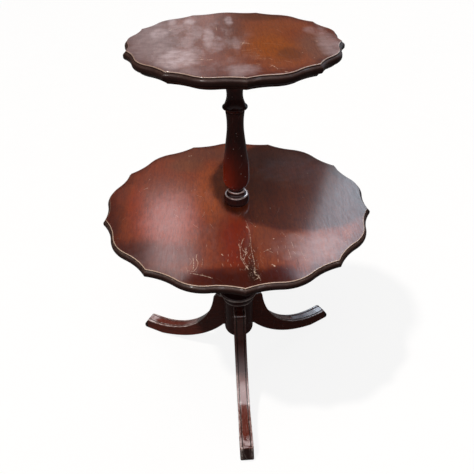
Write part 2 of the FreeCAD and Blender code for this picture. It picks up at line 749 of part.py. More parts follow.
def nail_hole():
    diameter = GLIDE_NAIL_DIAMETER + 2 * SCREW_FIT
    return pin(diameter, SOLE_HEIGHT, SOLE_HEIGHT + GLIDE_NAIL_LENGTH + SCREW_FIT, at(GLIDE_OUT, 0))


def foot_glides():
    return [spun(glide(), FRONT + n * LEG_ANGLE) for n in range(LEG_COUNT)]


# ---------------------------------------------------------------- nodes


def nodes():
    """Every node of the table: a name, and its solid or group of separate solids."""
    parts = {
        "upper_top": upper_top(),
        "upper_block": upper_block(),
        "upper_block_screws": block_screws(UPPER_TOP_UNDERSIDE, UPPER_SCREW_CIRCLE),
        "upper_post": upper_post(),
        "post_insert": post_insert(),
        "lower_top": lower_top(),
        "lower_block": lower_block(),
        "lower_block_screws": block_screws(LOWER_TOP_UNDERSIDE, LOWER_SCREW_CIRCLE),
        "pillar": pillar(),
        "tie_rod": tie_rod(),
        "rod_washer": rod_washer(),
        "rod_nut": rod_nut(),
        "leg_dowels": leg_dowels(),
        "foot_glides": foot_glides(),
    }
    leg_body = leg().cut(nail_hole())
    for n, name in enumerate(LEG_NODES):
        parts[name] = spun(leg_body, FRONT + n * LEG_ANGLE)
    return parts


def main():
    os.makedirs("parts", exist_ok=True)
    for name, shape in nodes().items():
        body = Part.makeCompound(shape) if isinstance(shape, list) else shape.Solids[0]
        body.exportStep("parts/" + name + ".step")
        print(name, "solids", len(body.Solids), "valid", body.isValid(), "volume", round(body.Volume))


main()
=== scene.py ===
import math

import bpy
import numpy as np
from mathutils import Matrix, Vector


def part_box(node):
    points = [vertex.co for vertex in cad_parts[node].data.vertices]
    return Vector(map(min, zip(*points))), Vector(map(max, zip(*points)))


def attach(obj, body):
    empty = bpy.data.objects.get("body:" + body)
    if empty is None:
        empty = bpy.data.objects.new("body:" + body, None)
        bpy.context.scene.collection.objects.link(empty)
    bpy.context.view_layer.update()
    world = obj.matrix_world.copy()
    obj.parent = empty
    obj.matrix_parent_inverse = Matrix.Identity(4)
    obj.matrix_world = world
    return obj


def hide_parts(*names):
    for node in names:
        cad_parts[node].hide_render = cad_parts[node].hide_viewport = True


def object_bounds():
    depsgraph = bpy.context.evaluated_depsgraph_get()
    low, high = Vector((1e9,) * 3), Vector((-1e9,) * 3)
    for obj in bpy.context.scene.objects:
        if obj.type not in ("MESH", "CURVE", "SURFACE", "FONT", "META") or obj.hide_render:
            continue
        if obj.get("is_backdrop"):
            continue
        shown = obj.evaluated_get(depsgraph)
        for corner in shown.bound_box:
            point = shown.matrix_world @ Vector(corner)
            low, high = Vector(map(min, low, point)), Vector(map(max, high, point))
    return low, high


bl_info = {
    "name": "Two-Tier Pie-Crust Table",
    "version": (1, 0, 0),
    "blender": (4, 5, 0),
    "location": "3D View > Sidebar > Table",
    "description": "Dresses a two-tier scalloped side table with turned columns and sabre legs",
    "category": "Object",
}

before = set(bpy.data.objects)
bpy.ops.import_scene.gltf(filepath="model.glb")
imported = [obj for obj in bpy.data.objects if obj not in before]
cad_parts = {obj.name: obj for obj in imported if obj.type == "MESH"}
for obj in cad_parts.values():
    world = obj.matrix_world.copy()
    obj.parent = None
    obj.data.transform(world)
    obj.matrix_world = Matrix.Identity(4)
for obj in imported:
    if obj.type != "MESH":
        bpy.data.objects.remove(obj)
CAD_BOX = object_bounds()

# The frame is in metres, +Z up, origin on the floor under the columns, front leg towards -Y.
MM = 0.001
LOWER_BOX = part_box("lower_top")
UPPER_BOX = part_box("upper_top")
POST_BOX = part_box("upper_post")
PILLAR_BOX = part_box("pillar")

SCALLOPS = 9
HALF_SCALLOP = math.radians(20.0)
FRONT = -math.pi / 2
LEG_AZIMUTHS = {"leg_front": -90.0, "leg_right": 30.0, "leg_left": 150.0}
ROD_HOLE_RADIUS = 4.5 * MM
BLOCK_THICKNESS = 19.0 * MM
CENTRE_RING = 12.0 * MM  # innermost ring of a flat face that has no hole
SHEET_RADIUS = 28.0 * MM  # where the sheet field measures the way round a turning

# The columns' bores, in millimetres: radius and depth.
INSERT_BORE = (6.55, 22.0)
PILOT_BORE = (4.5, 52.0)
NUT_RECESS = (14.0, 16.0)
HOLE_EASE = 0.02  # the drawn rod hole is this much wider

# A leg's side view, in millimetres.
SOLE_HEIGHT = 3.5
TOE_HEIGHT = 36.0
TOE_LENGTH = 36.0  # from the toe's reach back to the end of the sweep
HEEL_LENGTH = 66.0  # from the toe's reach back to the end of the sole
TOE_BACK, TOE_FRONT = -17.0, 3.0  # from the toe's reach to its end's high and low corner
SHOULDER_OUT, SHOULDER_FALL = 65.5, 3.0  # where the straight top ends: out, and below its start
SHOULDER_ROUND = 14.0
JOINT_HEIGHT = 98.0  # of the joint with the hub
UNDER_BOW = 23.8  # how far the under line is bowed off its chord
END_ROUND = 5.0  # rounding of the toe's end across its width
SWELL_START, SWELL_RUN, SWELL = 190.0, 90.0, 0.08  # widening of the leg towards the toe
GRAIN_SLOPE = math.radians(-32)
GRAIN_SHIFT, SHEET_SHIFT = 0.7, 0.31  # metres from one leg's wood to the next one's


# ---------------------------------------------------------------- what a user may change


def length(name, description, default):
    return bpy.props.FloatProperty(
        name=name, description=description, default=default, min=0.0, unit="LENGTH", precision=4
    )


def srgb(red, green, blue):
    """A colour given in 0-255 display values, as linear values."""
    values = np.array([red, green, blue]) / 255
    linear = np.where(values <= 0.04045, values / 12.92, ((values + 0.055) / 1.055) ** 2.4)
    return tuple(float(v) for v in linear)


def colour(name, description, display):
    return bpy.props.FloatVectorProperty(
        name=name,
        description=description,
        default=srgb(*display),
        size=3,
        min=0.0,
        max=1.0,
        subtype="COLOR",
    )


class TopSizes(bpy.types.PropertyGroup):
    lower_radius: length("Lower radius", "Lower top, axis to the cusps of its flat face", 0.2915)
    lower_dip: length("Lower dip", "Depth of the hollow beside a cusp of the lower top", 0.0085)
    upper_radius: length("Upper radius", "Upper top, axis to the cusps of its flat face", 0.201)
    upper_dip: length("Upper dip", "Depth of the hollow beside a cusp of the upper top", 0.006)
    upper_turn: bpy.props.FloatProperty(
        name="Upper turn",
        description="How far the upper top's cusps stand round from the lower top's",
        default=math.radians(3.0),
        subtype="ANGLE",
    )


class ColumnSizes(bpy.types.PropertyGroup):
    post_base: length("Post base", "Widest radius of the upper column's cushion", 0.0286)
    post_bulb: length("Post bulb", "Widest radius of the upper column's baluster", 0.0288)
    post_waist: length("Post waist", "Narrowest radius above the upper baluster", 0.0176)
    hub: length("Hub", "Radius of the hub that takes the legs", 0.037)
    ring: length("Ring", "Widest radius of the ring above the legs", 0.0485)
    pillar_bulb: length("Pillar bulb", "Widest radius of the lower column's baluster", 0.034)


class LegSizes(bpy.types.PropertyGroup):
    width: length("Width", "Width of a leg, side to side", 0.030)
    top: length("Top", "Height of a leg's upper face at the hub", 0.236)
    toe: length("Toe", "Axis to the end of a toe's sole", 0.315)
    bead: length("Bead", "Width of the raised band along each side", 0.0046)
    groove: length("Groove", "Width of the groove inside each band", 0.0026)
    depth: length("Groove depth", "Depth of the grooves", 0.0014)


class FinishColours(bpy.types.PropertyGroup):
    top_dark: colour("Top, dark grain", "Darkest grain of the tops", (94, 40, 25))
    top_mid: colour("Top, mid grain", "Common colour of the tops", (132, 59, 36))
    top_light: colour("Top, light grain", "Lightest grain of the tops", (150, 74, 42))
    patina: colour("Patina", "Old dark polish along the rims", (60, 24, 16))
    bare: colour("Bare wood", "Wood under the polish, seen in scratches", (216, 186, 164))
    # Partly painted reflection: besides real bloom, this pale colour stands in for pale
    # surroundings mirrored in the polish.
    bloom_and_reflection: colour("Bloom", "Milky bloom in the old polish", (184, 162, 162))
    # Partly painted light: greyed towards neutral to stand in for the polish's reflected sheen; the
    # columns, which stand in the tops' shade, are kept close to this colour.
    turned_dark: colour("Turned, dark", "Darkest polish of columns and edges", (60, 38, 38))
    turned_light: colour("Turned, light", "Where that polish is thin", (104, 42, 27))
    # Painted light: the red that light thrown up from the lit lower top gives the left side of the
    # post's bulb.
    painted_bounce_light: colour("Glow", "Red where the post's polish is thin", (170, 58, 30))
    # Partly painted shade: the mouldings and undersides are painted near-black for the shade and
    # dark reflections of their downward faces, partly old dark polish.
    rim: colour("Moulding", "Nearly black polish of the tops' mouldings", (32, 23, 21))
    # Partly painted highlight: on the ovolo's upper band this grey stands in for the band's sheen
    # of reflected sky, partly dirt.
    grime_and_sheen: colour("Grime", "Grey dirt on the moulding's shelf", (120, 98, 86))
    # Partly painted highlight: on rubbed lips, rings and leg edges this pale colour stands in for
    # glints.
    dust: colour("Dust", "Wax and dust left in the turned quirks", (214, 198, 192))
    steel: colour("Steel", "Zinc-plated fittings", (150, 150, 148))
    brass: colour("Brass", "The threaded insert", (176, 138, 74))


class StageLight(bpy.types.PropertyGroup):
    sun: bpy.props.FloatProperty(
        name="Key", description="Strength of the soft key light", default=2.5, min=0.0
    )
    fill: bpy.props.FloatProperty(
        name="Fill", description="Radiance of the pale surroundings", default=0.13, min=0.0
    )
    floor: colour("Floor", "Colour of the floor", (96, 94, 92))


GROUPS = {
    "table_tops": TopSizes,
    "table_columns": ColumnSizes,
    "table_legs": LegSizes,
    "table_finish": FinishColours,
    "table_light": StageLight,
}


# ---------------------------------------------------------------- curves of a profile


def unit(angles):
    """Unit vectors at the angles, one to a row."""
    return np.column_stack([np.cos(angles), np.sin(angles)])


def arc_through(start, middle, end, count=9):
    """Points of the circle through three points.

    The centre is equally far from all three; the angle about it grows evenly from start to end,
    going round by way of middle.
    """
    a, m, b = (np.asarray(p, float) for p in (start, middle, end))
    centre = np.linalg.solve(2 * np.array([m - a, b - a]), [m @ m - a @ a, b @ b - a @ a])
    angles = [math.atan2(*(p - centre)[::-1]) for p in (a, m, b)]
    via, sweep = (np.mod(angle - angles[0], 2 * np.pi) for angle in angles[1:])
    if via > sweep:
        sweep -= 2 * np.pi
    turn = angles[0] + sweep * np.linspace(0, 1, count)
    return centre + np.linalg.norm(a - centre) * unit(turn)


def rounded(start, end, corner, count=7):
    """A rounded corner: the arc whose middle lies root-half of the way from corner to the chord."""
    start, end, corner = (np.asarray(p, float) for p in (start, end, corner))
    middle = corner + (start + end - 2 * corner) * (1 - math.sqrt(0.5))
    return arc_through(start, middle, end, count)


def smooth_through(points, count=44):
    """A cubic spline through the points, upright at both ends.

    Over chord length; the slopes at the inner points make the second derivative continuous, and
    between two points it is the Hermite cubic of their places and slopes.
    """
    points = np.asarray(points, float)
    step = np.linalg.norm(np.diff(points, axis=0), axis=1)
    size = len(points)
    rows = np.zeros((size, size))
    sides = np.zeros((size, 2))
    rows[0, 0] = rows[-1, -1] = 1
    sides[0] = sides[-1] = (0, 1)
    inner = np.arange(1, size - 1)
    before, after = 1 / step[:-1], 1 / step[1:]
    rows[inner, inner - 1] = before
    rows[inner, inner] = 2 * (before + after)
    rows[inner, inner + 1] = after
    rise = np.diff(points, axis=0)
    sides[inner] = 3 * (rise[:-1] * before[:, None] ** 2 + rise[1:] * after[:, None] ** 2)
    slope = np.linalg.solve(rows, sides)
    knots = np.concatenate([[0], np.cumsum(step)])
    along = np.linspace(0, knots[-1], count)
    n = np.clip(np.searchsorted(knots, along, side="right") - 1, 0, size - 2)
    t = ((along - knots[n]) / step[n])[:, None]
    h = step[n][:, None]
    return (
        points[n] * (1 + 2 * t) * (1 - t) ** 2
        + slope[n] * h * t * (1 - t) ** 2
        + points[n + 1] * t**2 * (3 - 2 * t)
        + slope[n + 1] * h * t**2 * (t - 1)
    )


def between(start, end, radius_share, height_share):
    start, end = np.asarray(start, float), np.asarray(end, float)
    return start + (end - start) * (radius_share, height_share)


def bells(values, spots):
    """Sum of bells over the values; a spot gives a bell's middle, width and height."""
    return sum(peak * np.exp(-(((values - middle) / width) ** 2)) for middle, width, peak in spots)


def without_repeats(points):
    """Drops every point that lies on the one before it."""
    points = np.asarray(points, float)
    apart = np.linalg.norm(np.diff(points, axis=0), axis=1) > 1e-7
    return points[np.concatenate([[True], apart])]


def divided(points, longest):
    """The same line with points added so that no stretch is longer than longest."""
    points = np.asarray(points, float)
    stretch = np.linalg.norm(np.diff(points, axis=0), axis=1)
    parts = np.maximum(1, np.ceil(stretch / longest).astype(int))
    start = np.repeat(np.arange(len(parts)), parts)
    inner = np.concatenate([np.arange(n) / n for n in parts])[:, None]
    run = points[start] + (points[start + 1] - points[start]) * inner
    return np.vstack([run, points[-1:]])


# ---------------------------------------------------------------- meshes from grids


def grid_faces(rows, columns, rows_close=False, columns_close=True):
    """Four corners of every cell of a grid of vertices numbered row by row."""
    r = np.arange(rows if rows_close else rows - 1)[:, None]
    c = np.arange(columns if columns_close else columns - 1)[None, :]
    r_next, c_next = (r + 1) % rows, (c + 1) % columns
    row, row_next = r * columns, r_next * columns
    corners = [row + c, row + c_next, row_next + c_next, row_next + c]
    return np.stack(corners, -1).reshape(-1, 4)


def fan_faces(ring, centre, outward):
    """Triangles from a ring of vertices to one centre vertex."""
    ring = np.asarray(ring)
    following = np.roll(ring, -1)
    middle = np.full(len(ring), centre)
    order = (ring, following, middle) if outward else (following, ring, middle)
    return np.stack(order, -1)


def make_piece(name, vertices, faces, fields, sharp_degrees):
    """A mesh object at the origin from arrays of vertices (metres) and faces."""
    mesh = bpy.data.meshes.new(name)
    mesh.from_pydata(vertices.tolist(), [], [face for group in faces for face in group.tolist()])
    for field, values in fields.items():
        kind, slot = ("FLOAT", "value") if values.ndim == 1 else ("FLOAT_VECTOR", "vector")
        layer = mesh.attributes.new(field, kind, "POINT")
        layer.data.foreach_set(slot, np.ascontiguousarray(values, np.float32).ravel())
    mesh.polygons.foreach_set("use_smooth", np.ones(len(mesh.polygons), bool))
    mesh.update()
    mesh.set_sharp_from_angle(angle=math.radians(sharp_degrees))
    piece = bpy.data.objects.new(name, mesh)
    bpy.context.scene.collection.objects.link(piece)
    return piece


def ring_piece(name, rings, heights, poles, fields, downwards, sharp_degrees):
    """A surface carried through rings of points, each at its own height.

    poles gives the heights of two vertices on the axis that close the first and the last ring;
    without them the last ring joins the first one, as a tube. The fields end with the poles'
    values. The rings follow each other up the outside, or down it.
    """
    rings, heights = np.asarray(rings), np.asarray(heights)
    rows, columns = rings.shape[:2]
    z = np.repeat(heights[:, None], columns, 1)[..., None]
    vertices = np.concatenate([rings, z], -1).reshape(-1, 3)
    around = grid_faces(rows, columns, rows_close=not poles)
    faces = [around[:, ::-1] if downwards else around]
    if poles:
        vertices = np.vstack([vertices, [[0, 0, height] for height in poles]])
        count = rows * columns
        faces.append(fan_faces(np.arange(columns), count, downwards))
        faces.append(fan_faces(np.arange(count - columns, count), count + 1, not downwards))
    return make_piece(name, vertices, faces, fields, sharp_degrees)


def hand_over(piece, node, material):
    piece.data.materials.append(material)
    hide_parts(node)
    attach(piece, "root")


# ---------------------------------------------------------------- scalloped tops


def scallop_ring(radius, dip_depth, offset, front, per_arc=12):
    """One ring of a scalloped edge, offset outwards from the flat face's line.

    Half a scallop is two arcs that join tangent. The hollow flank's centre lies outside the board
    beyond the dip, so its radius shrinks by the offset; the round crown's lies inside, so it
    grows. Both angles grow evenly. The half is mirrored at the crown and repeated nine times.
    """
    dip_angle = math.radians(8.0)
    rest = HALF_SCALLOP - dip_angle
    dip = radius - dip_depth
    flank = (dip**2 + radius**2 - 2 * radius * dip * math.cos(dip_angle)) / (
        2 * (radius * math.cos(dip_angle) - dip)
    )
    reach = dip + flank
    crown = (reach**2 + radius**2 - 2 * reach * radius * math.cos(rest) - flank**2) / (
        2 * (radius - reach * math.cos(rest) + flank)
    )
    flank_centre = reach * np.array([math.cos(dip_angle), math.sin(dip_angle)])
    crown_centre = (radius - crown) * np.array([math.cos(HALF_SCALLOP), math.sin(HALF_SCALLOP)])
    inward = (crown_centre - flank_centre) / np.linalg.norm(crown_centre - flank_centre)
    flank, crown = flank - offset, crown + offset
    cusp = flank_centre[0] - math.sqrt(flank**2 - flank_centre[1] ** 2)
    first = np.mod(math.atan2(-flank_centre[1], cusp - flank_centre[0]), 2 * np.pi)
    last = np.mod(math.atan2(inward[1], inward[0]), 2 * np.pi)
    turn = np.linspace(first, last, per_arc + 1)
    hollow = flank_centre + flank * unit(turn)
    turn = np.linspace(math.atan2(-inward[1], -inward[0]), HALF_SCALLOP, per_arc + 1)[1:]
    swell = crown_centre + crown * unit(turn)
    half = np.vstack([hollow, swell])
    c, s = math.cos(2 * HALF_SCALLOP), math.sin(2 * HALF_SCALLOP)
    mirrored = half @ np.array([[c, s], [s, -c]])
    scallop = np.vstack([half[:-1], mirrored[::-1][:-1]])
    azimuth = front + 2 * HALF_SCALLOP * np.arange(SCALLOPS)
    c, s = np.cos(azimuth)[:, None], np.sin(azimuth)[:, None]
    x = scallop[:, 0] * c - scallop[:, 1] * s
    y = scallop[:, 0] * s + scallop[:, 1] * c
    return np.column_stack([x.ravel(), y.ravel()])


def edge_stations():
    """Edge moulding as (reach past the flat face's line, depth, wear), from the surface down.

    Arris, lip, quirk, ovolo, round and cove: lines and arcs in millimetres.
    """
    arris = rounded((-1.2, 0), (0, 1.2), (0, 0), 6)
    ovolo = rounded((0.9, 3.2), (5.0, 10.5), (5.0, 3.2), 10)
    under = rounded((5.0, 10.5), (1.8, 16.5), (5.0, 16.5), 8)
    low, high = np.array([1.8, 16.5]), np.array([-5.5, 22.5])
    hollow = (low + high) / 2 - np.array([1.0, 1.0]) * 1.4 * math.sqrt(0.5)
    cove = arc_through(low, hollow, high, 6)
    line = without_repeats(np.vstack([[[-2.2, 0]], arris, [[0, 2.6]], ovolo, under, cove]))
    wear = bells(line[:, 1], [(0.5, 0.8, 1.0), (3.3, 0.7, 0.45), (9.8, 2.0, 0.3)])
    wear[0] = 0.25
    return np.column_stack([line * MM, np.clip(wear, 0, 1)])


def scalloped_top(name, radius, dip, front, box, hole):
    """A scalloped board: the edge moulding carried round the outline, and two flat faces.

    The flat faces are rings of the outline shrunk towards the axis; towards a central hole they
    turn into its circle, otherwise they end in one vertex at the axis. The margin field is the
    way in from the face's rim, in metres.
    """
    surface, thickness = box[1].z, box[1].z - box[0].z
    stations = edge_stations()
    face_line = scallop_ring(radius, dip, stations[0, 0], front)
    foot_line = scallop_ring(radius, dip, stations[-1, 0], front)
    azimuth = np.arctan2(face_line[:, 1], face_line[:, 0])
    circle = max(hole, CENTRE_RING) * unit(azimuth)
    shares = np.array([0.0, 0.25, 0.5, 0.7, 0.85, 0.94, 0.985])

    def flat(line, height):
        return [(circle + (line - circle) * s, height, 0.0, (1 - s) * radius) for s in shares]

    moulding = [
        (scallop_ring(radius, dip, reach, front), surface - depth, amount, 0.0)
        for reach, depth, amount in stations
    ]
    under = flat(foot_line, surface - thickness)[::-1]
    rings, heights, wear, margin = zip(*flat(face_line, surface), *moulding, *under)
    edge, inward = np.repeat(wear, len(circle)), np.repeat(margin, len(circle))
    poles = None if hole else (surface, surface - thickness)
    if poles:
        edge, inward = np.append(edge, [0, 0]), np.append(inward, [radius, radius])
    fields = {"edge": edge, "margin": inward}
    return ring_piece(name, rings, heights, poles, fields, downwards=True, sharp_degrees=26)


# ---------------------------------------------------------------- turned columns


def turned_piece(name, profile, closes, segments=112):
    """A profile of (radius, height, wear) carried once round the axis.

    x = radius cos a, y = radius sin a, with a growing evenly. A closed profile makes a tube; an
    open one starts and ends on the axis, where each end is a single vertex.
    """
    profile = np.asarray(profile, float)
    turn = np.arange(segments) * 2 * np.pi / segments + math.pi / 2
    body = profile if closes else profile[1:-1]
    rings = body[:, 0][:, None, None] * unit(turn)[None]
    edge = np.repeat(body[:, 2], segments)
    around = np.tile(np.arange(segments) * 2 * np.pi / segments * SHEET_RADIUS, len(body))
    sheet = np.column_stack([around, np.repeat(body[:, 1], segments), np.zeros(len(around))])
    poles = None if closes else tuple(profile[[0, -1], 1])
    if poles:
        edge = np.append(edge, profile[[0, -1], 2])
        sheet = np.vstack([sheet, [[0, 0, height] for height in poles]])
    fields = {"edge": edge, "sheet": sheet}
    return ring_piece(name, rings, body[:, 1], poles, fields, downwards=False, sharp_degrees=32)


def baluster(neck, bulb, waist):
    below = [between(neck, bulb, *s) for s in ((0.25, 0.17), (0.61, 0.34), (0.88, 0.55))]
    above = [between(waist, bulb, s, 1 - r) for s, r in ((0.93, 0.22), (0.67, 0.40), (0.30, 0.68))]
    return smooth_through([neck, *below, bulb, *above, waist], 60)


def knop_and_capital(waist, foot, knop, throat, lip, radius, lip_height, shoulder, tenon):
    """From the waist up: sharp-shouldered knop, throat, flare, lip, cushion, shoulder and tenon."""
    foot_top = np.array([foot, knop[1] - 9.5])
    foot_low = foot_top - (0, 1.6)
    step = foot_top - (1.0, 0)
    rim_low, rim_high = knop - (2.6, 2.6), knop + (-2.6, 2.6)
    flare_end = np.array([lip, lip_height])
    lip_top = flare_end + (0, 2.0)
    cushion = lip_top - (1.0, 0)
    top = shoulder + BLOCK_THICKNESS / MM - 1.0
    return [
        arc_through(waist, between(waist, foot_low, 0.3, 0.6), foot_low),
        [foot_top],
        arc_through(step, between(step, rim_low, 0.32, 0.62), rim_low),
        arc_through(rim_low, knop, rim_high),
        arc_through(rim_high, between(throat, rim_high, 0.24, 0.38), throat, 12),
        arc_through(throat, between(throat, flare_end, 0.22, 0.6), flare_end, 12),
        [lip_top],
        arc_through(cushion, (radius, (cushion[1] + shoulder) / 2), (cushion[0], shoulder)),
        [(tenon / 2, shoulder), (tenon / 2, top)],
    ]


def with_wear(line, spots):
    """A profile in metres with its wear: a bell about each spot's height."""
    return np.column_stack([line * MM, np.clip(bells(line[:, 1], spots), 0, 1)])


def post_profile(sizes):
    floor, shoulder = POST_BOX[0].z / MM, UPPER_BOX[0].z / MM - BLOCK_THICKNESS / MM
    base, bulb, waist_radius = sizes.post_base / MM, sizes.post_bulb / MM, sizes.post_waist / MM
    foot, base_top = np.array([24.8, floor]), np.array([25.2, floor + 21.0])
    lip_top, lip_step = base_top + (0, 1.2), base_top + (-1.2, 1.2)
    neck = np.array([16.6, floor + 34.0])
    bead_low = neck + (0.6, -5.5)
    waist, throat = np.array([waist_radius, shoulder - 130.0]), np.array([16.8, shoulder - 70.0])
    knop = np.array([26.0, shoulder - 91.0])
    bore, bore_top = INSERT_BORE[0], floor + INSERT_BORE[1]
    pilot, pilot_top = PILOT_BORE[0], floor + PILOT_BORE[1]
    parts = [
        [(0, pilot_top), (pilot, pilot_top), (pilot, bore_top), (bore, bore_top), (bore, floor)],
        arc_through(foot, (base, (floor + base_top[1]) / 2), base_top, 14),
        [lip_top],
        arc_through(lip_step, between(bead_low, lip_step, 0.24, 0.58), bead_low, 8),
        arc_through(bead_low, (19.0, neck[1] - 2.75), neck),
        baluster(neck, (bulb, floor + 70.0), waist),
        *knop_and_capital(waist, 19.6, knop, throat, 26.5, 29.0, shoulder - 32.0, shoulder, 25.0),
        [(0, shoulder + 18.0)],
    ]
    line = divided(without_repeats(np.vstack(parts)), 9.0)
    spots = [
        (base_top[1] + 0.6, 1.0, 1.0),
        (floor + 11.0, 6.0, 0.2),
        (neck[1] - 2.0, 1.5, 1.0),
        (knop[1], 1.8, 0.2),
        (shoulder - 31.0, 1.8, 0.7),
        (floor, 1.5, 0.5),
    ]
    return with_wear(line, spots)


def pillar_profile(sizes, leg_top):
    bottom, shoulder = PILLAR_BOX[0].z / MM, LOWER_BOX[0].z / MM - BLOCK_THICKNESS / MM
    hub, ring, bulb = sizes.hub / MM, sizes.ring / MM, sizes.pillar_bulb / MM
    hub_top = leg_top + 3.5
    ring_low = np.array([ring - 4.5, leg_top + 23.5])
    ring_high, ring_step = ring_low + (0, 12.0), ring_low + (-2.0, 12.0)
    neck = np.array([21.0, leg_top + 55.0])
    waist, throat = np.array([20.5, shoulder - 76.0]), np.array([20.0, shoulder - 31.0])
    knop = np.array([30.0, shoulder - 48.0])
    hole, (recess, seat) = ROD_HOLE_RADIUS / MM + HOLE_EASE, (0, bottom) + np.array(NUT_RECESS)
    bead_high = np.array([hub, hub_top + 6.5])
    parts = [
        [(hole, seat), (recess, seat), (recess, bottom)],
        rounded((hub - 10.0, bottom), (hub, bottom + 20.0), (hub, bottom), 14),
        arc_through((hub, hub_top), (39.2, hub_top + 3.25), bead_high),
        arc_through(bead_high, between(bead_high, ring_low, 0.15, 0.6), ring_low, 12),
        arc_through(ring_low, (ring, (ring_low[1] + ring_high[1]) / 2), ring_high, 12),
        arc_through(ring_step, between(neck, ring_step, 0.25, 0.58), neck, 12),
        baluster(neck, (bulb, leg_top + 92.0), waist),
        *knop_and_capital(waist, 22.5, knop, throat, 33.5, 36.0, shoulder - 14.0, shoulder, 32.0),
        [(hole, shoulder + 18.0)],
    ]
    line = divided(without_repeats(np.vstack(parts)), 12.0)
    spots = [
        (hub_top + 3.25, 2.0, 0.7),
        (ring_low[1] + 6.0, 5.0, 0.6),
        (knop[1], 1.8, 0.7),
        (shoulder - 13.0, 1.8, 0.6),
        (bottom + 1.0, 3.0, 0.5),
    ]
    return with_wear(line, spots)


# ---------------------------------------------------------------- sabre legs


def toe_end(sizes):
    """The slanted end of the toe in side view: its high and its low corner."""
    toe = sizes.toe / MM
    high, low = (toe + TOE_BACK, TOE_HEIGHT), (toe + TOE_FRONT, SOLE_HEIGHT)
    return np.array(high), np.array(low)


def leg_outline(sizes, hub):
    """A leg's side view as a closed line of (out, height, groove), in millimetres.

    From the hub: straight top, rounded shoulder, hollow sweep that ends level, flat toe with
    rounded corners, slanted end, flat sole, and one arc back up to the hub. Groove is 1 on the
    upper face and fades out round the toe.
    """
    top, toe = sizes.top / MM, sizes.toe / MM
    shoulder = np.array([SHOULDER_OUT, top - SHOULDER_FALL])
    end = np.array([toe - TOE_LENGTH, TOE_HEIGHT])
    run, rise = end[0] - shoulder[0], shoulder[1] - end[1]
    radius = (run**2 + rise**2) / (2 * rise)
    centre = end + (0, radius)
    start = np.array([hub, shoulder[1] + SHOULDER_FALL])
    into = (start - shoulder) / np.linalg.norm(start - shoulder)
    shoulder_arc, meets = corner_round(shoulder, into, centre, radius, SHOULDER_ROUND)
    fall_angle = math.atan2(centre[1] - meets[1], centre[0] - meets[0])
    turn = np.linspace(fall_angle, math.pi / 2, 56)[1:]
    sweep = centre - radius * unit(turn)
    toe_high, toe_low = toe_end(sizes)
    slant = (toe_low - toe_high) / np.linalg.norm(toe_low - toe_high)
    high_round = line_round(toe_high, (-1.0, 0.0), slant, 3.0)
    low_round = line_round(toe_low, -slant, (-1.0, 0.0), 7.0, 9)
    heel = np.array([toe - HEEL_LENGTH, SOLE_HEIGHT])
    joint = np.array([hub, top - JOINT_HEIGHT])
    chord = joint - heel
    bow = np.array([-chord[1], chord[0]]) / np.linalg.norm(chord) * UNDER_BOW
    under = arc_through(heel, (heel + joint) / 2 + bow, joint, 60)
    flat = divided([sweep[-1], high_round[0]], 2.5)[1:-1]
    upper = np.vstack([[start], shoulder_arc, sweep, flat])
    rest = np.vstack([divided([high_round[-1], low_round[0]], 3.0)[1:-1], low_round])
    sole_line = divided([low_round[-1], heel], 3.0)[1:-1]
    parts = [upper, high_round, rest, sole_line, under]
    grooves = [np.ones(len(upper)), np.linspace(1, 0, len(high_round))]
    grooves += [np.zeros(len(p)) for p in parts[2:]]
    return np.column_stack([np.vstack(parts), np.concatenate(grooves)])


def line_round(corner, back, forward, radius, count=6):
    """The arc of a radius that touches two straight ways out of a corner."""
    back, forward = np.asarray(back, float), np.asarray(forward, float)
    half = math.acos(np.clip(back @ forward, -1, 1)) / 2
    bisector = (back + forward) / np.linalg.norm(back + forward)
    centre = corner + bisector * radius / math.sin(half)
    reach = radius / math.tan(half)
    return arc_through(
        corner + back * reach, centre - bisector * radius, corner + forward * reach, count
    )


def corner_round(corner, into, centre, radius, fillet, count=12):
    """The arc that rounds the corner between a straight top and the hollow sweep.

    Its centre lies fillet below the straight and fillet outside the sweep's circle, which gives
    one point on the line parallel to the straight. Returns the arc and where it meets the sweep.
    """
    down = np.array([-into[1], into[0]])
    down = down if down[1] < 0 else -down
    base = corner + down * fillet
    gap = base - centre
    along = into @ gap
    spread = math.sqrt(along**2 - (gap @ gap - (radius + fillet) ** 2))
    reach = min((-along + spread, -along - spread), key=abs)
    middle = base + into * reach
    first = middle - down * fillet
    last = centre + (middle - centre) * radius / (radius + fillet)
    way = (first - middle) + (last - middle)
    through = middle + way / np.linalg.norm(way) * fillet
    return arc_through(first, through, last, count), last


def outward_normals(line):
    """Unit normals of a closed line, to its outside, from the two neighbours of each point."""
    ahead, behind = np.roll(line, -1, 0) - line, line - np.roll(line, 1, 0)
    ahead /= np.linalg.norm(ahead, axis=1)[:, None]
    behind /= np.linalg.norm(behind, axis=1)[:, None]
    way = ahead + behind
    way /= np.linalg.norm(way, axis=1)[:, None]
    normal = np.column_stack([-way[:, 1], way[:, 0]])
    stretch = 1 / np.maximum((normal * np.column_stack([-ahead[:, 1], ahead[:, 0]])).sum(1), 0.5)
    return normal * stretch[:, None]


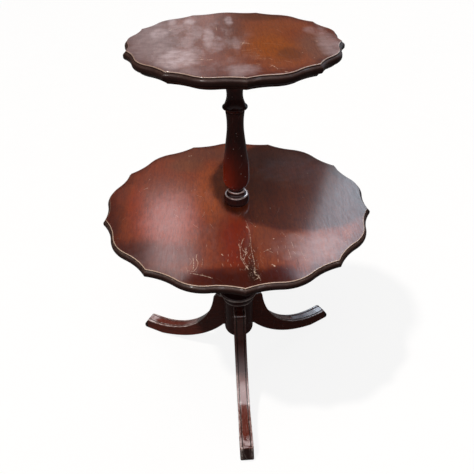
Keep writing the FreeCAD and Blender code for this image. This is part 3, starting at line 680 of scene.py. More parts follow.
def leg_stations(sizes):
    """Half of the leg's section, from its side to its middle.

    Columns: distance from the middle, inset of every face, inset of the groove, wear.
    """
    side, round_edge = sizes.width / 2 / MM, 1.5
    bead, groove, depth = sizes.bead / MM, sizes.groove / MM, sizes.depth / MM
    inner = side - bead
    centre = inner - groove
    turn = np.linspace(0, np.pi / 2, 6)
    edge = np.column_stack(
        [
            side - round_edge * (1 - np.cos(turn)),
            round_edge * (1 - np.sin(turn)),
            0 * turn,
            0.4 + 0.6 * np.sin(2 * turn),
        ]
    )
    soft = 0.35
    flat = [
        (inner + soft, 0, 0, 0.35),
        (inner + soft * 0.3, 0, soft * 0.3, 0.7),
        (inner, 0, soft, 0.5),
        (inner - soft * 0.4, 0, depth, 0.0),
        (centre + soft * 0.4, 0, depth, 0.0),
        (centre, 0, soft, 0.5),
        (centre - soft * 0.3, 0, soft * 0.3, 0.7),
        (centre - soft, 0, 0, 0.35),
        (centre - 2.0, 0, 0, 0.06),
        (centre * 0.4, 0, 0, 0.05),
        (0, 0, 0, 0.05),
    ]
    deep = [(side, 5.0, 0, 0.06), (side, 2.6, 0, 0.22)]
    return np.vstack([deep, edge, flat])


def sabre_leg(name, sizes, hub, azimuth, number):
    """A leg: its side view carried across its width.

    Across the leg every point of the side view moves in along its own normal by the station's
    inset, and on the upper face by the groove's as well; the outer stations turn the long edges.
    Each side is closed by bands between the upper and the under line. Where the leg meets the hub
    its end follows the hub's circle. Along the toe the width swells by a smooth step, and close to
    the slanted end it draws in along a quarter circle, which rounds the toe's corners.
    """
    outline = leg_outline(sizes, hub / MM)
    line, groove = outline[:, :2], outline[:, 2]
    normal = outward_normals(line)
    half = leg_stations(sizes)
    across = np.vstack([half * (-1, 1, 1, 1), half[::-1][1:]])
    inset = across[:, 1][None] + groove[:, None] * across[:, 2][None]
    points = line[:, None] - normal[:, None] * inset[..., None]
    out, height = points[..., 0], points[..., 1]
    high_corner, low_corner = toe_end(sizes)
    facing = np.array([high_corner[1] - low_corner[1], low_corner[0] - high_corner[0]])
    gap = (low_corner - points) @ (facing / np.linalg.norm(facing))
    gap = np.minimum(gap, line[:, 0].max() - out)
    beyond = np.clip(END_ROUND - gap, 0, END_ROUND)
    pull = END_ROUND - np.sqrt(END_ROUND**2 - beyond**2)
    swell = np.clip((out - SWELL_START) / SWELL_RUN, 0, 1)
    width = 1 + SWELL * swell**2 * (3 - 2 * swell) - pull / (sizes.width / 2 / MM)
    offset = across[:, 0][None] * width
    at_hub = np.zeros(len(line), bool)
    at_hub[[0, -1]] = True
    cove = np.sqrt(((hub / MM) - 0.3) ** 2 - offset**2)
    out = np.where(at_hub[:, None], cove, np.maximum(out, cove))
    rows, columns = out.shape
    local = np.stack([out, offset, height], -1).reshape(-1, 3) * MM
    wear = np.repeat(across[:, 3][None], rows, 0).ravel()
    faces = [grid_faces(rows, columns, rows_close=True, columns_close=False)]
    ladder = np.arange(rows // 2)
    mate = rows - 1 - ladder
    low, high = np.stack([ladder, mate]), np.stack([ladder + 1, mate - 1])
    keep = high[0] < high[1]
    strip = np.stack([low[0], high[0], high[1], low[1]], -1)[keep]
    faces += [strip * columns, (strip * columns + columns - 1)[:, ::-1]]
    turn = math.radians(azimuth)
    c, s = math.cos(turn), math.sin(turn)
    world = np.column_stack(
        [local[:, 0] * c - local[:, 1] * s, local[:, 0] * s + local[:, 1] * c, local[:, 2]]
    )
    c, s = math.cos(GRAIN_SLOPE), math.sin(GRAIN_SLOPE)
    along = local[:, 0] * c + local[:, 2] * s
    up = -local[:, 0] * s + local[:, 2] * c
    grain = np.column_stack([local[:, 1] + GRAIN_SHIFT * number, along, up])
    across_sheet = local[:, 1] + up * 0.6 + SHEET_SHIFT * number
    sheet = np.column_stack([across_sheet, along, np.zeros(len(local))])
    flat = np.abs(across[:, 0]) < half[0, 0] - 1.0
    upper = (groove[:, None] * flat[None]).ravel()
    hollow = (groove[:, None] * across[:, 2][None] / (sizes.depth / MM)).ravel()
    fields = {"edge": wear, "grain": grain, "sheet": sheet}
    fields |= {"reach": local[:, 0], "upper": upper, "hollow": hollow}
    return make_piece(name, world, faces, fields, sharp_degrees=38)


# ---------------------------------------------------------------- node wiring


class Wire:
    """One output in a node tree: each sign adds a Math node, and | takes the higher value."""

    def __init__(self, bench, socket):
        self.bench, self.socket = bench, socket

    def __mul__(self, other):
        return self.bench.math("MULTIPLY", self, other)

    def __add__(self, other):
        return self.bench.math("ADD", self, other)

    def __sub__(self, other):
        return self.bench.math("SUBTRACT", self, other)

    def __rsub__(self, other):
        return self.bench.math("SUBTRACT", other, self)

    def __or__(self, other):
        return self.bench.math("MAXIMUM", self, other)

    def __ror__(self, other):
        return self.bench.math("MAXIMUM", other, self)

    def scaled(self, factor, start):
        """The value times factor, added to start."""
        return self.bench.math("MULTIPLY_ADD", self, factor, start)

    def ease(self, low, high, to_low=0.0, to_high=1.0):
        """A smooth step from to_low, where the value is low, to to_high, where it is high."""
        sources = (self, low, high, to_low, to_high)
        return self.bench.made("ShaderNodeMapRange", *sources, interpolation_type="SMOOTHSTEP")

    def covered(self, mask, colour):
        """This colour with another laid over it where the mask is 1."""
        return self.bench.blend(mask, self, colour)


class Bench:
    """Adds and links the nodes of one material, world or node group."""

    def __init__(self, tree):
        self.tree = tree

    def node(self, kind, *sources, **settings):
        """A new node; the sources feed its first inputs in order."""
        node = self.tree.nodes.new(kind)
        for key, value in settings.items():
            setattr(node, key, value)
        for socket, source in zip(node.inputs, sources):
            self.feed(socket, source)
        return node

    def feed(self, socket, source):
        """Links a wire or another node's socket, or sets a plain value."""
        source = getattr(source, "socket", source)
        if isinstance(source, bpy.types.NodeSocket):
            self.tree.links.new(source, socket)
        else:
            socket.default_value = source

    def feed_named(self, node, sources):
        for label, source in sources.items():
            self.feed(node.inputs[label], source)

    def wires(self, node, *labels):
        return [Wire(self, node.outputs[label]) for label in labels or range(len(node.outputs))]

    def made(self, kind, *sources, output=0, **settings):
        """One output of a new node."""
        return Wire(self, self.node(kind, *sources, **settings).outputs[output])

    def math(self, operation, *sources):
        return self.made("ShaderNodeMath", *sources, operation=operation)

    def vector(self, operation, *sources):
        output = "Value" if operation in ("LENGTH", "DOT_PRODUCT") else "Vector"
        return self.made("ShaderNodeVectorMath", *sources, output=output, operation=operation)

    def scale(self, vector, factor):
        scaled = self.vector("SCALE", vector)
        self.feed(scaled.socket.node.inputs["Scale"], factor)
        return scaled

    def split(self, vector, kind="XYZ"):
        return self.wires(self.node("ShaderNodeSeparate" + kind, vector))

    def blend(self, factor, first, second, blend_type="MIX"):
        node = self.node("ShaderNodeMix", factor, data_type="RGBA", blend_type=blend_type)
        for index, source in ((6, first), (7, second)):
            self.feed(node.inputs[index], source if isinstance(source, Wire) else (*source, 1.0))
        return Wire(self, node.outputs[2])

    def noise(self, vector, scale, detail=2.0, roughness=0.5, distortion=0.0):
        node = self.node("ShaderNodeTexNoise")
        self.feed_named(node, {"Vector": vector, "Scale": scale, "Detail": detail})
        self.feed_named(node, {"Roughness": roughness, "Distortion": distortion})
        return Wire(self, node.outputs["Fac"])

    def mapped(self, vector, scale=(1, 1, 1), rotation=(0, 0, 0)):
        node = self.node("ShaderNodeMapping")
        self.feed_named(node, {"Vector": vector, "Scale": scale, "Rotation": rotation})
        return Wire(self, node.outputs[0])

    def attribute(self, name, output="Fac"):
        return self.made("ShaderNodeAttribute", output=output, attribute_name=name)

    def place(self, output="Object"):
        return self.made("ShaderNodeTexCoord", output=output)

    def rays(self, *kinds):
        return self.wires(self.node("ShaderNodeLightPath"), *(f"Is {kind} Ray" for kind in kinds))


def cleared(owner):
    """The bench of a material or a world, its node tree emptied."""
    owner.use_nodes = True
    owner.node_tree.nodes.clear()
    return Bench(owner.node_tree)


def node_group(title, outputs=("Mask",), **inputs):
    """Turns a builder into a function that places its node group, made at the first call.

    inputs names the group's inputs with their defaults, a number or a vector. The builder takes a
    bench and a wire for each input, and returns the outputs in order.
    """

    def label(key):
        return key.replace("_", " ").title()

    def make(build):
        tree = bpy.data.node_groups.new(title, "ShaderNodeTree")
        for key, default in inputs.items():
            kind = "NodeSocketVector" if isinstance(default, tuple) else "NodeSocketFloat"
            socket = tree.interface.new_socket(label(key), in_out="INPUT", socket_type=kind)
            socket.default_value = default
        for name in outputs:
            tree.interface.new_socket(name, in_out="OUTPUT", socket_type="NodeSocketFloat")
        bench = Bench(tree)
        entry, leave = bench.node("NodeGroupInput"), bench.node("NodeGroupOutput")
        results = build(bench, *bench.wires(entry)[: len(inputs)])
        for socket, result in zip(leave.inputs, results if len(outputs) > 1 else [results]):
            bench.feed(socket, result)
        return tree

    def decorate(build):
        trees = []

        def placed(bench, **sources):
            if not trees:
                trees.append(make(build))
            node = bench.node("ShaderNodeGroup", node_tree=trees[0])
            bench.feed_named(node, {label(key): source for key, source in sources.items()})
            wires = bench.wires(node)
            return wires if len(wires) > 1 else wires[0]

        return placed

    return decorate


@node_group(
    "Mahogany Grain", ("Ribbon", "Streak", "Pores", "Height"), vector=(0.0, 0.0, 0.0), stretch=0.07
)
def mahogany_grain(b, vector, stretch):
    """Grain along Y: wide ribbons, fine streaks, and short open pores."""
    squeeze = b.made("ShaderNodeCombineXYZ", 1.0, stretch, 1.0)
    vector = b.vector("MULTIPLY", vector, squeeze)
    ribbon = b.noise(vector, 26.0, 3.0, 0.5, 0.7)
    streak = b.noise(vector, 230.0, 4.0, 0.62, 0.25)
    pores = b.noise(b.mapped(vector, (1, 1.6, 1)), 1150.0, 2.0, 0.5).ease(0.60, 0.72)
    return ribbon.ease(0.3, 0.7), streak.ease(0.32, 0.70), pores, streak * 0.6 - pores * 0.8


@node_group(
    "Stroke Marks",
    vector=(0.0, 0.0, 0.0),
    cells=40.0,
    length=0.3,
    width=0.01,
    lean=0.0,
    spread=1.0,
    share=0.5,
)
def stroke_marks(b, vector, cells, length, width, lean, spread, share):
    """Short scratches, one to a cell of a random grid.

    In each cell the way from the cell's point is turned by that cell's own angle; the stroke is
    where the way across, bent a little, is under the width and the way along is under the length.
    """
    scaled = b.scale(vector, cells)
    grid = b.node("ShaderNodeTexVoronoi", voronoi_dimensions="2D", feature="F1")
    b.feed_named(grid, {"Vector": scaled, "Scale": 1.0})
    position, tint = b.wires(grid, "Position", "Color")
    offset = b.node("ShaderNodeSeparateXYZ")
    b.feed(offset.inputs[0], b.vector("SUBTRACT", scaled, position))
    x, y, _ = b.wires(offset)
    turn, luck, chance = b.split(tint, "Color")
    angle = b.math("MULTIPLY_ADD", turn - 0.5, spread, lean)
    cosine, sine = b.math("COSINE", angle), b.math("SINE", angle)
    over = x * cosine + y * sine
    along = y * cosine - x * sine
    reach = length * (luck + 0.3)
    bend = along * along * (luck - 0.5)
    thin = b.math("ABSOLUTE", over + bend).ease(width, 0.0)
    short = b.math("ABSOLUTE", along).ease(reach, reach * 0.6)
    chosen = b.math("LESS_THAN", chance, share)
    return thin * short * chosen


@node_group(
    "Long Scratch",
    vector=(0.0, 0.0, 0.0),
    start=(0.0, 0.0, 0.0),
    way=(0.01, 0.0, 0.0),
    bow=(0.0, 0.0, 0.0),
    width=0.0006,
    broken=0.5,
)
def long_scratch(b, vector, start, way, bow, width, broken):
    """One long scratch from a start to an end, bowed sideways, its depth broken by noise.

    The share t of the way along is the point's way from the start measured on the scratch's own
    way, held between 0 and 1; the nearest point lies there, moved sideways by the bow times
    4 t (1 - t). The mask falls from 1 to 0 within the width about it.
    """
    offset = b.vector("SUBTRACT", vector, start)
    size = b.vector("DOT_PRODUCT", way, way)
    t = b.math("DIVIDE", b.vector("DOT_PRODUCT", offset, way), size)
    t = b.math("MINIMUM", t | 0.0, 1.0)
    rise = t * (1.0 - t) * 4.0
    straight, side = b.scale(way, t), b.scale(bow, rise)
    away = b.vector("SUBTRACT", b.vector("SUBTRACT", offset, straight), side)
    line = b.vector("LENGTH", away).ease(width, width * 0.3)
    gaps = b.noise(vector, 330.0, 3.0, 0.6).ease(0.43, 0.56)
    return line * (1.0 - (1.0 - gaps) * broken)


@node_group("Specks", vector=(0.0, 0.0, 0.0), cells=60.0, size=0.08, share=0.2)
def specks(b, vector, cells, size, share):
    """Round specks of dust and chipped polish, one to some of the cells of a random grid."""
    grid = b.node("ShaderNodeTexVoronoi", voronoi_dimensions="3D", feature="F1")
    b.feed_named(grid, {"Vector": vector, "Scale": cells})
    distance, tint = b.wires(grid, "Distance", "Color")
    chance, luck, _ = b.split(tint, "Color")
    size = size * (luck + 0.35)
    return distance.ease(size, size * 0.5) * b.math("LESS_THAN", chance, share)


@node_group(
    "Oval Patch",
    vector=(0.0, 0.0, 0.0),
    middle=(0.0, 0.0, 0.0),
    half_size=(0.05, 0.05, 1.0),
    ragged=0.3,
)
def oval_patch(b, vector, middle, half_size, ragged):
    """A soft oval: 1 inside, fading to 0 at its rim, its outline broken by noise."""
    away = b.vector("SUBTRACT", vector, middle)
    distance = b.vector("LENGTH", b.vector("DIVIDE", away, half_size))
    uneven = (b.noise(vector, 38.0, 3.0) - 0.5) * ragged
    return (distance + uneven * 2.0).ease(1.15, 0.35)


@node_group("Edge Wear", vector=(0.0, 0.0, 0.0), edge=0.0, amount=0.5, scale=60.0)
def edge_wear(b, vector, edge, amount, scale):
    """Polish rubbed off edges: the piece's edge field, broken up by noise."""
    broken = b.noise(vector, scale, 4.0, 0.65)
    need = 1.15 - amount
    return (edge * (broken + 0.35)).ease(need * 0.55, need)


# ---------------------------------------------------------------- finishes

SCRATCH_FINENESS = 0.85  # drawn width of a scratch, as a share of its table width
SCRATCH_GAPS = 0.92  # how far a scratch fades in its gaps
# Strength of the grey on the moulding's shelf: partly dirt, partly painted highlight.
SHELF_GRIME_AND_SHEEN = 0.12
DRAPES = 0.03  # radiance of the darkest surroundings
FLOOR_IN_GLOSS = 0.06  # share of the floor's lift that the polish reflects


def new_material(name, **constants):
    """A material with one Principled shader; constants go straight to its own sockets."""
    material = bpy.data.materials.new(name)
    bench = cleared(material)
    shader = bench.node("ShaderNodeBsdfPrincipled")
    bench.node("ShaderNodeOutputMaterial", shader.outputs[0])
    for key, value in constants.items():
        shader.inputs[key.replace("_", " ")].default_value = value
    return material, bench, shader


def raise_bump(bench, shader, height, distance):
    bump = bench.node("ShaderNodeBump")
    bench.feed_named(bump, {"Height": height, "Distance": distance})
    bench.feed(shader.inputs["Normal"], bump.outputs[0])


def long_marks(bench, place, surface, marks):
    """Mask of single scratches given as (x0, y0, x1, y1, bow, width, strength), in millimetres.

    Each one joins the total as soon as it is made, so that few values stay in use at a time.
    """
    total = 0.0
    for x0, y0, x1, y1, bow, width, strength in marks:
        way = np.array([x1 - x0, y1 - y0, 0.0])
        across = np.array([-way[1], way[0], 0.0]) / np.linalg.norm(way) * bow
        line = long_scratch(
            bench,
            vector=place,
            start=(x0 * MM, y0 * MM, surface),
            way=tuple(way * MM),
            bow=tuple(across * MM),
            width=width * SCRATCH_FINENESS * MM,
            broken=SCRATCH_GAPS,
        )
        total = total | line * strength
    return total


def patches(bench, place, surface, rows, ragged):
    """Goes through rows of (x, y, half width, half depth, ...): an oval's mask, and the rest."""
    for x, y, half_width, half_depth, *rest in rows:
        oval = oval_patch(
            bench,
            vector=place,
            middle=(x * MM, y * MM, surface),
            half_size=(half_width * MM, half_depth * MM, 1.0),
            ragged=ragged,
        )
        yield oval, *rest


def top_polish(name, finish, surface, looks):
    """Old polish on a top: ribboned grain, patina, milky bloom with painted reflections, scratches,
    a near-black moulding that is partly painted shade, and a pale arris that is partly painted
    highlight.
    """
    material, b, shader = new_material(
        name, Coat_Weight=0.95, Coat_Roughness=looks["sheen"], Specular_IOR_Level=0.05
    )
    place = b.place()
    ribbon, streak, pores, height = mahogany_grain(b, vector=place, stretch=0.055)
    wood = b.blend(ribbon, finish.top_mid, finish.top_light)
    wood = wood.covered(streak * 0.30, finish.top_dark)
    drift = b.noise(b.mapped(place, (1, 0.45, 1)), 7.0, 2.0, 0.5, 0.4).ease(0.35, 0.7)
    wood = wood.covered(drift * 0.35, finish.top_dark)
    mottle = b.noise(b.mapped(place, (1, 0.5, 1)), 210.0, 5.0, 0.7).ease(0.42, 0.64)
    wood = wood.covered(mottle * 0.38, finish.top_dark)
    for stain, tint, amount in patches(b, place, surface, looks["stains"], 0.3):
        wood = wood.covered(stain * amount, srgb(*tint))

    margin, patchy = b.attribute("margin"), b.noise(place, 16.0, 4.0, 0.6)
    old = (patchy - 0.5).scaled(0.05, margin).ease(looks["patina_width"], 0.0)
    wood = wood.covered(old * looks["patina"], finish.patina)
    wood = wood.covered(pores * 0.4, finish.turned_dark)
    fleck = b.noise(b.mapped(place, (1, 0.16, 1)), 360.0, 4.0, 0.65).ease(0.46, 0.60)
    wood = wood.covered(fleck * 0.32, finish.turned_dark)

    # Milky bloom, and partly painted reflection: pale patches where the polish would mirror pale
    # surroundings.
    bloom_and_reflection = None
    for haze_and_reflection, amount in patches(b, place, surface, looks["hazes_and_reflections"], 0.45):
        haze_and_reflection = haze_and_reflection * amount
        bloom_and_reflection = haze_and_reflection if bloom_and_reflection is None else bloom_and_reflection | haze_and_reflection
    for veil_and_reflection, amount in patches(b, place, surface, looks["veils_and_reflections"], 0.3):
        blotch = b.noise(b.mapped(place, (1, 0.4, 1)), 30.0, 5.0, 0.6).ease(0.44, 0.62)
        bloom_and_reflection = bloom_and_reflection | veil_and_reflection * blotch * amount
    cloud = b.noise(place, 55.0, 5.0, 0.62).ease(0.30, 0.66, 0.55, 1.1)
    brushed = b.noise(b.mapped(place, (0.12, 1, 1)), 900.0, 2.0, 0.5).ease(0.3, 0.7, 0.82, 1.06)
    bloom_and_reflection = bloom_and_reflection * cloud * brushed
    wood = wood.covered(bloom_and_reflection, finish.bloom_and_reflection)

    scratch = long_marks(b, place, surface, looks["scratches"])
    for zone, *stroke in patches(b, place, surface, looks["scuffs"], 0.35):
        fields = dict(zip(("cells", "length", "width", "lean", "spread", "share"), stroke))
        scratch = scratch | zone * stroke_marks(b, vector=place, **fields) * 0.75
    dust = specks(b, vector=place, cells=62.0, size=0.085, share=0.2)
    scratch = scratch | dust * 0.8
    cracks = long_marks(b, place, surface, looks["cracks"])
    wood = wood.covered(cracks, finish.turned_dark).covered(scratch * 0.9, finish.bare)

    _, y, z = b.split(place)
    # The pale arris line, strongest towards the front, is rubbed bare wood and partly a painted
    # highlight of the arris catching light.
    towards_front = y.ease(0.02, -0.12, 0.3, 1.0)
    rim = z.ease(surface - 0.5 * MM, surface - 1.4 * MM)
    edge = b.attribute("edge")
    # Moulding and underside painted near-black: partly painted shade of the faces that turn down,
    # partly old polish.
    rim_wood = b.blend(streak * 0.7, finish.turned_light, finish.turned_dark)
    rim_wood = rim_wood.covered(0.92, finish.rim)
    # The ovolo's upper band: its grey is partly dirt, partly a painted highlight of the sky it
    # mirrors.
    shelf = z.ease(surface - 2.8 * MM, surface - 3.4 * MM)
    shelf = shelf * z.ease(surface - 7.0 * MM, surface - 4.4 * MM)
    grime_and_sheen = b.noise(place, 90.0, 4.0, 0.6).ease(0.3, 0.62, 0.25, 1.0)
    wood = wood.covered(rim, rim_wood.covered(shelf * grime_and_sheen * SHELF_GRIME_AND_SHEEN, finish.grime_and_sheen))
    rubbed_and_glints = edge_wear(
        b, vector=place, edge=edge, amount=towards_front * looks["wear"], scale=70.0
    )
    wood = wood.covered(rubbed_and_glints * looks["bare"], finish.bare)

    marked = scratch | cracks
    rough = streak.scaled(0.06, 0.28) + bloom_and_reflection * 0.12 + marked * 0.25
    rough = rough | rubbed_and_glints * 0.5 | rim * 0.42
    kept = b.noise(b.mapped(place, (1, 1, 3)), 34.0, 3.0, 0.5).ease(0.56, 0.70, 0.90, 0.50)
    dulled = rim * kept | marked * 0.8
    weave = b.noise(b.mapped(place, (1, 0.07, 1)), 430.0, 4.0, 0.62)
    crazing = b.noise(place, 520.0, 2.0, 0.5).ease(0.3, 0.7, -0.08, 0.08)
    glassy = weave.ease(0.32, 0.66, 0.68, 1.02) + crazing
    coat = glassy * (0.95 - dulled)
    b.feed_named(shader, {"Base Color": wood, "Roughness": rough, "Coat Weight": coat})
    swell = b.noise(b.mapped(place, (1, 0.2, 1)), 60.0, 2.0, 0.5)
    raise_bump(b, shader, height * 0.4 + swell * 1.2 - marked * 0.7, 0.00012)
    return material


def dark_polish(name, finish, place_field, wear, dusty, gloss, lift):
    """Dark polish of columns and legs: close grain, rubbed edges, scratches, dust.

    place_field names the field that places the grain; without one the grain stands upright.
    """
    material, b, shader = new_material(
        name, Coat_Weight=0.2, Coat_Roughness=0.08, Specular_IOR_Level=0.06
    )
    if place_field:
        place = b.attribute(place_field, "Vector")
    else:
        place = b.mapped(b.place(), rotation=(math.pi / 2, 0, 0))
    sheet = b.attribute("sheet", "Vector")
    ribbon, streak, pores, height = mahogany_grain(b, vector=place, stretch=0.08)
    thin = ribbon * (1.0 - streak * 0.7)
    wood = b.blend(thin.scaled(0.6, lift), finish.turned_dark, finish.turned_light)
    wood = wood.covered(pores * 0.5, finish.turned_dark)
    lines = stroke_marks(
        b, vector=sheet, cells=42.0, length=0.32, width=0.018, lean=0.2, spread=2.4, share=0.3
    )
    dust = specks(b, vector=place, cells=120.0, size=0.15, share=dusty)
    marks = lines * 0.35 | dust
    edge = b.attribute("edge")
    rubbed_and_glints = edge_wear(b, vector=place, edge=edge, amount=wear, scale=55.0)
    rough = (streak.scaled(0.08, gloss) | rubbed_and_glints * 0.45) + marks * 0.3
    b.feed_named(shader, {"Roughness": rough, "Coat Weight": edge.scaled(0.6, 0.2)})
    fleck = b.noise(b.mapped(place, (1, 0.3, 1)), 300.0, 4.0, 0.65).ease(0.46, 0.62)
    wood = wood.covered(fleck * 0.35, finish.rim)
    wavy = b.noise(place, 90.0, 2.0)
    raise_bump(b, shader, height * 0.4 + wavy, 0.0002)
    return material, b, shader, wood, rubbed_and_glints, marks


def finish_dark(b, shader, finish, wood, rubbed_and_glints, marks, strength):
    """Lays the rubbed edges, partly painted highlight, and the marks over the wood of a dark
    polish.
    """
    wood = wood.covered(rubbed_and_glints * strength, finish.dust).covered(marks * 0.85, finish.dust)
    b.feed(shader.inputs["Base Color"], wood)


def wax_lips(b, shader, rubbed_and_glints, low, high):
    """Hard shining wax on the rubbed lips of a turning, broken round it, between two heights."""
    place = b.place()
    z = b.split(place)[2]
    held = b.noise(place, 60.0, 3.0, 0.6).ease(0.38, 0.52, 0.15, 0.8)
    for near, far in ((low - MM, low), (high + MM, high)):
        held = held * z.ease(near, far)
    b.feed(shader.inputs["Metallic"], rubbed_and_glints * held)


def under_wood(name, finish, turned):
    """Blocks: plain stained wood with streaked grain, open pores and pale specks."""
    material, b, shader = new_material(name)
    place = b.place()
    along = b.mapped(place, rotation=(0, 0, turned))
    _, streak, pores, height = mahogany_grain(b, vector=along, stretch=0.1)
    wood = b.blend(streak, finish.turned_light, finish.turned_dark)
    wood = wood.covered(pores * 0.5, finish.turned_dark)
    dust = specks(b, vector=place, cells=120.0, size=0.12, share=0.2)
    wood = wood.covered(dust * 0.4, finish.bare)
    b.feed_named(shader, {"Base Color": wood, "Roughness": streak.scaled(0.2, 0.5)})
    raise_bump(b, shader, height, 0.0004)
    return material


def pale_wood(name, tone):
    """Dowels: pale straight-grained wood, glue-stained."""
    material, b, shader = new_material(name)
    ribbon, streak, _, height = mahogany_grain(b, vector=b.place(), stretch=0.2)
    wood = b.blend(streak * 0.5, tone, srgb(150, 108, 70))
    b.feed_named(shader, {"Base Color": wood, "Roughness": ribbon.scaled(0.15, 0.55)})
    raise_bump(b, shader, height, 0.0003)
    return material


def old_metal(name, bright, dull, gloss):
    """Plated metal gone dull in patches, with fine scratches and specks of rust."""
    material, b, shader = new_material(name, Metallic=1.0)
    place = b.place()
    patchy = b.noise(place, 320.0, 4.0, 0.6).ease(0.35, 0.68)
    lines = stroke_marks(
        b, vector=place, cells=420.0, length=0.4, width=0.03, lean=0.0, spread=6.0, share=0.6
    )
    rust = specks(b, vector=place, cells=520.0, size=0.3, share=0.2)
    metal = b.blend(patchy * 0.7, bright, dull)
    metal = metal.covered(lines * 0.5, (0.75, 0.74, 0.72))
    metal = metal.covered(rust * 0.6, srgb(96, 52, 30))
    rough = patchy.scaled(0.25, gloss) + rust * 0.3
    b.feed_named(shader, {"Base Color": metal, "Roughness": rough})
    raise_bump(b, shader, patchy - lines, 0.00006)
    return material


# ---------------------------------------------------------------- marks on the tops

# Rows give places, half sizes, bows and scratch widths in millimetres, from the axis, with X to
# the right and Y to the back. patina_width is in metres.
# stains: x, y, half width, half depth, colour, strength
# hazes and their reflections: x, y, half width, half depth, strength, for patches of milky bloom
# that are partly painted reflection of pale surroundings; veils are the same in blotches
# scuffs: x, y, half width, half depth, then strokes: cells to a metre, length and width as shares
#     of a cell, lean and spread in radians, and the share of cells that hold one
# scratches: x0, y0, x1, y1, bow, width, strength; cracks are dark scratches

UPPER_LOOKS = {
    "sheen": 0.15,
    "wear": 0.5,
    "bare": 0.45,
    "patina": 0.55,
    "patina_width": 0.022,
    "hazes_and_reflections": [
        (-100, -95, 46, 70, 0.85),
        (-142, 50, 26, 50, 0.72),
        (-160, 10, 60, 160, 0.36),
        (-47, 20, 13, 85, 0.70),
        (-85, 135, 15, 34, 0.80),
        (-120, 130, 12, 34, 0.60),
        (-4, 134, 9, 48, 0.62),
        (3, -28, 9, 55, 0.42),
        (4, -165, 34, 34, 0.54),
        (172, -55, 24, 110, 0.45),
        (151, 50, 16, 30, 0.28),
    ],
    "veils_and_reflections": [
        (-110, -10, 150, 230, 0.42),
        (185, -20, 40, 140, 0.5),
    ],
    "stains": [
        (0, 0, 260, 260, (108, 68, 52), 0.42),
        (82, -10, 110, 190, (136, 68, 27), 0.8),
        (66, -45, 55, 90, (142, 70, 14), 0.85),
        (122, 20, 40, 60, (120, 52, 22), 0.6),
        (95, -90, 30, 45, (84, 42, 20), 0.6),
        (60, 160, 90, 40, (84, 46, 22), 0.7),
        (-10, 60, 40, 160, (92, 50, 34), 0.75),
        (-70, 10, 12, 200, (100, 50, 32), 0.7),
        (-26, 20, 12, 140, (104, 50, 32), 0.7),
        (-150, 0, 70, 200, (74, 42, 34), 0.75),
        (-60, -170, 120, 40, (84, 42, 32), 0.6),
        (150, -60, 45, 120, (104, 72, 60), 0.65),
    ],
    "scratches": [
        (11, -17, 27, -26, 0.5, 1.1, 0.9),
        (12, -34, 19, -9, -1.0, 1.0, 0.9),
        (4, -22, 34, -30, 1.0, 0.7, 0.5),
        (53, -142, 63, -166, 1.0, 1.2, 1.0),
        (50, -156, 57, -146, 0.0, 0.9, 0.7),
        (-67, -107, -42, -110, 0.5, 1.0, 1.0),
        (-63, -92, -60, -108, 0.0, 0.7, 0.5),
        (148, -22, 153, -24, 0.0, 1.8, 1.0),
        (30, -86, 42, -88, 0.0, 0.8, 0.7),
        (33, -97, 44, -96, 0.0, 0.8, 0.7),
        (30, -108, 50, -112, 0.0, 0.8, 0.7),
        (42, -118, 47, -119, 0.0, 1.0, 0.7),
        (-124, 71, -110, 88, 0.5, 1.0, 0.7),
        (-31, 89, -30, 66, 0.0, 0.8, 0.7),
        (73, -178, 77, -180, 0.0, 1.4, 1.0),
        (88, 60, 96, 34, 1.0, 0.7, 0.4),
    ],
    "scuffs": [
        (30, -60, 70, 90, 34.0, 0.36, 0.016, 1.5, 0.7, 0.55),
        (60, -130, 60, 50, 40.0, 0.34, 0.020, 1.0, 1.4, 0.5),
        (-62, -103, 35, 30, 34.0, 0.40, 0.014, 1.5, 0.3, 0.6),
        (0, 0, 210, 210, 28.0, 0.28, 0.008, 1.4, 1.2, 0.30),
    ],
    "cracks": [
        (96, -60, 110, -96, 3.0, 1.4, 0.35),
        (-150, -60, -140, -96, 1.0, 0.9, 0.30),
    ],
}

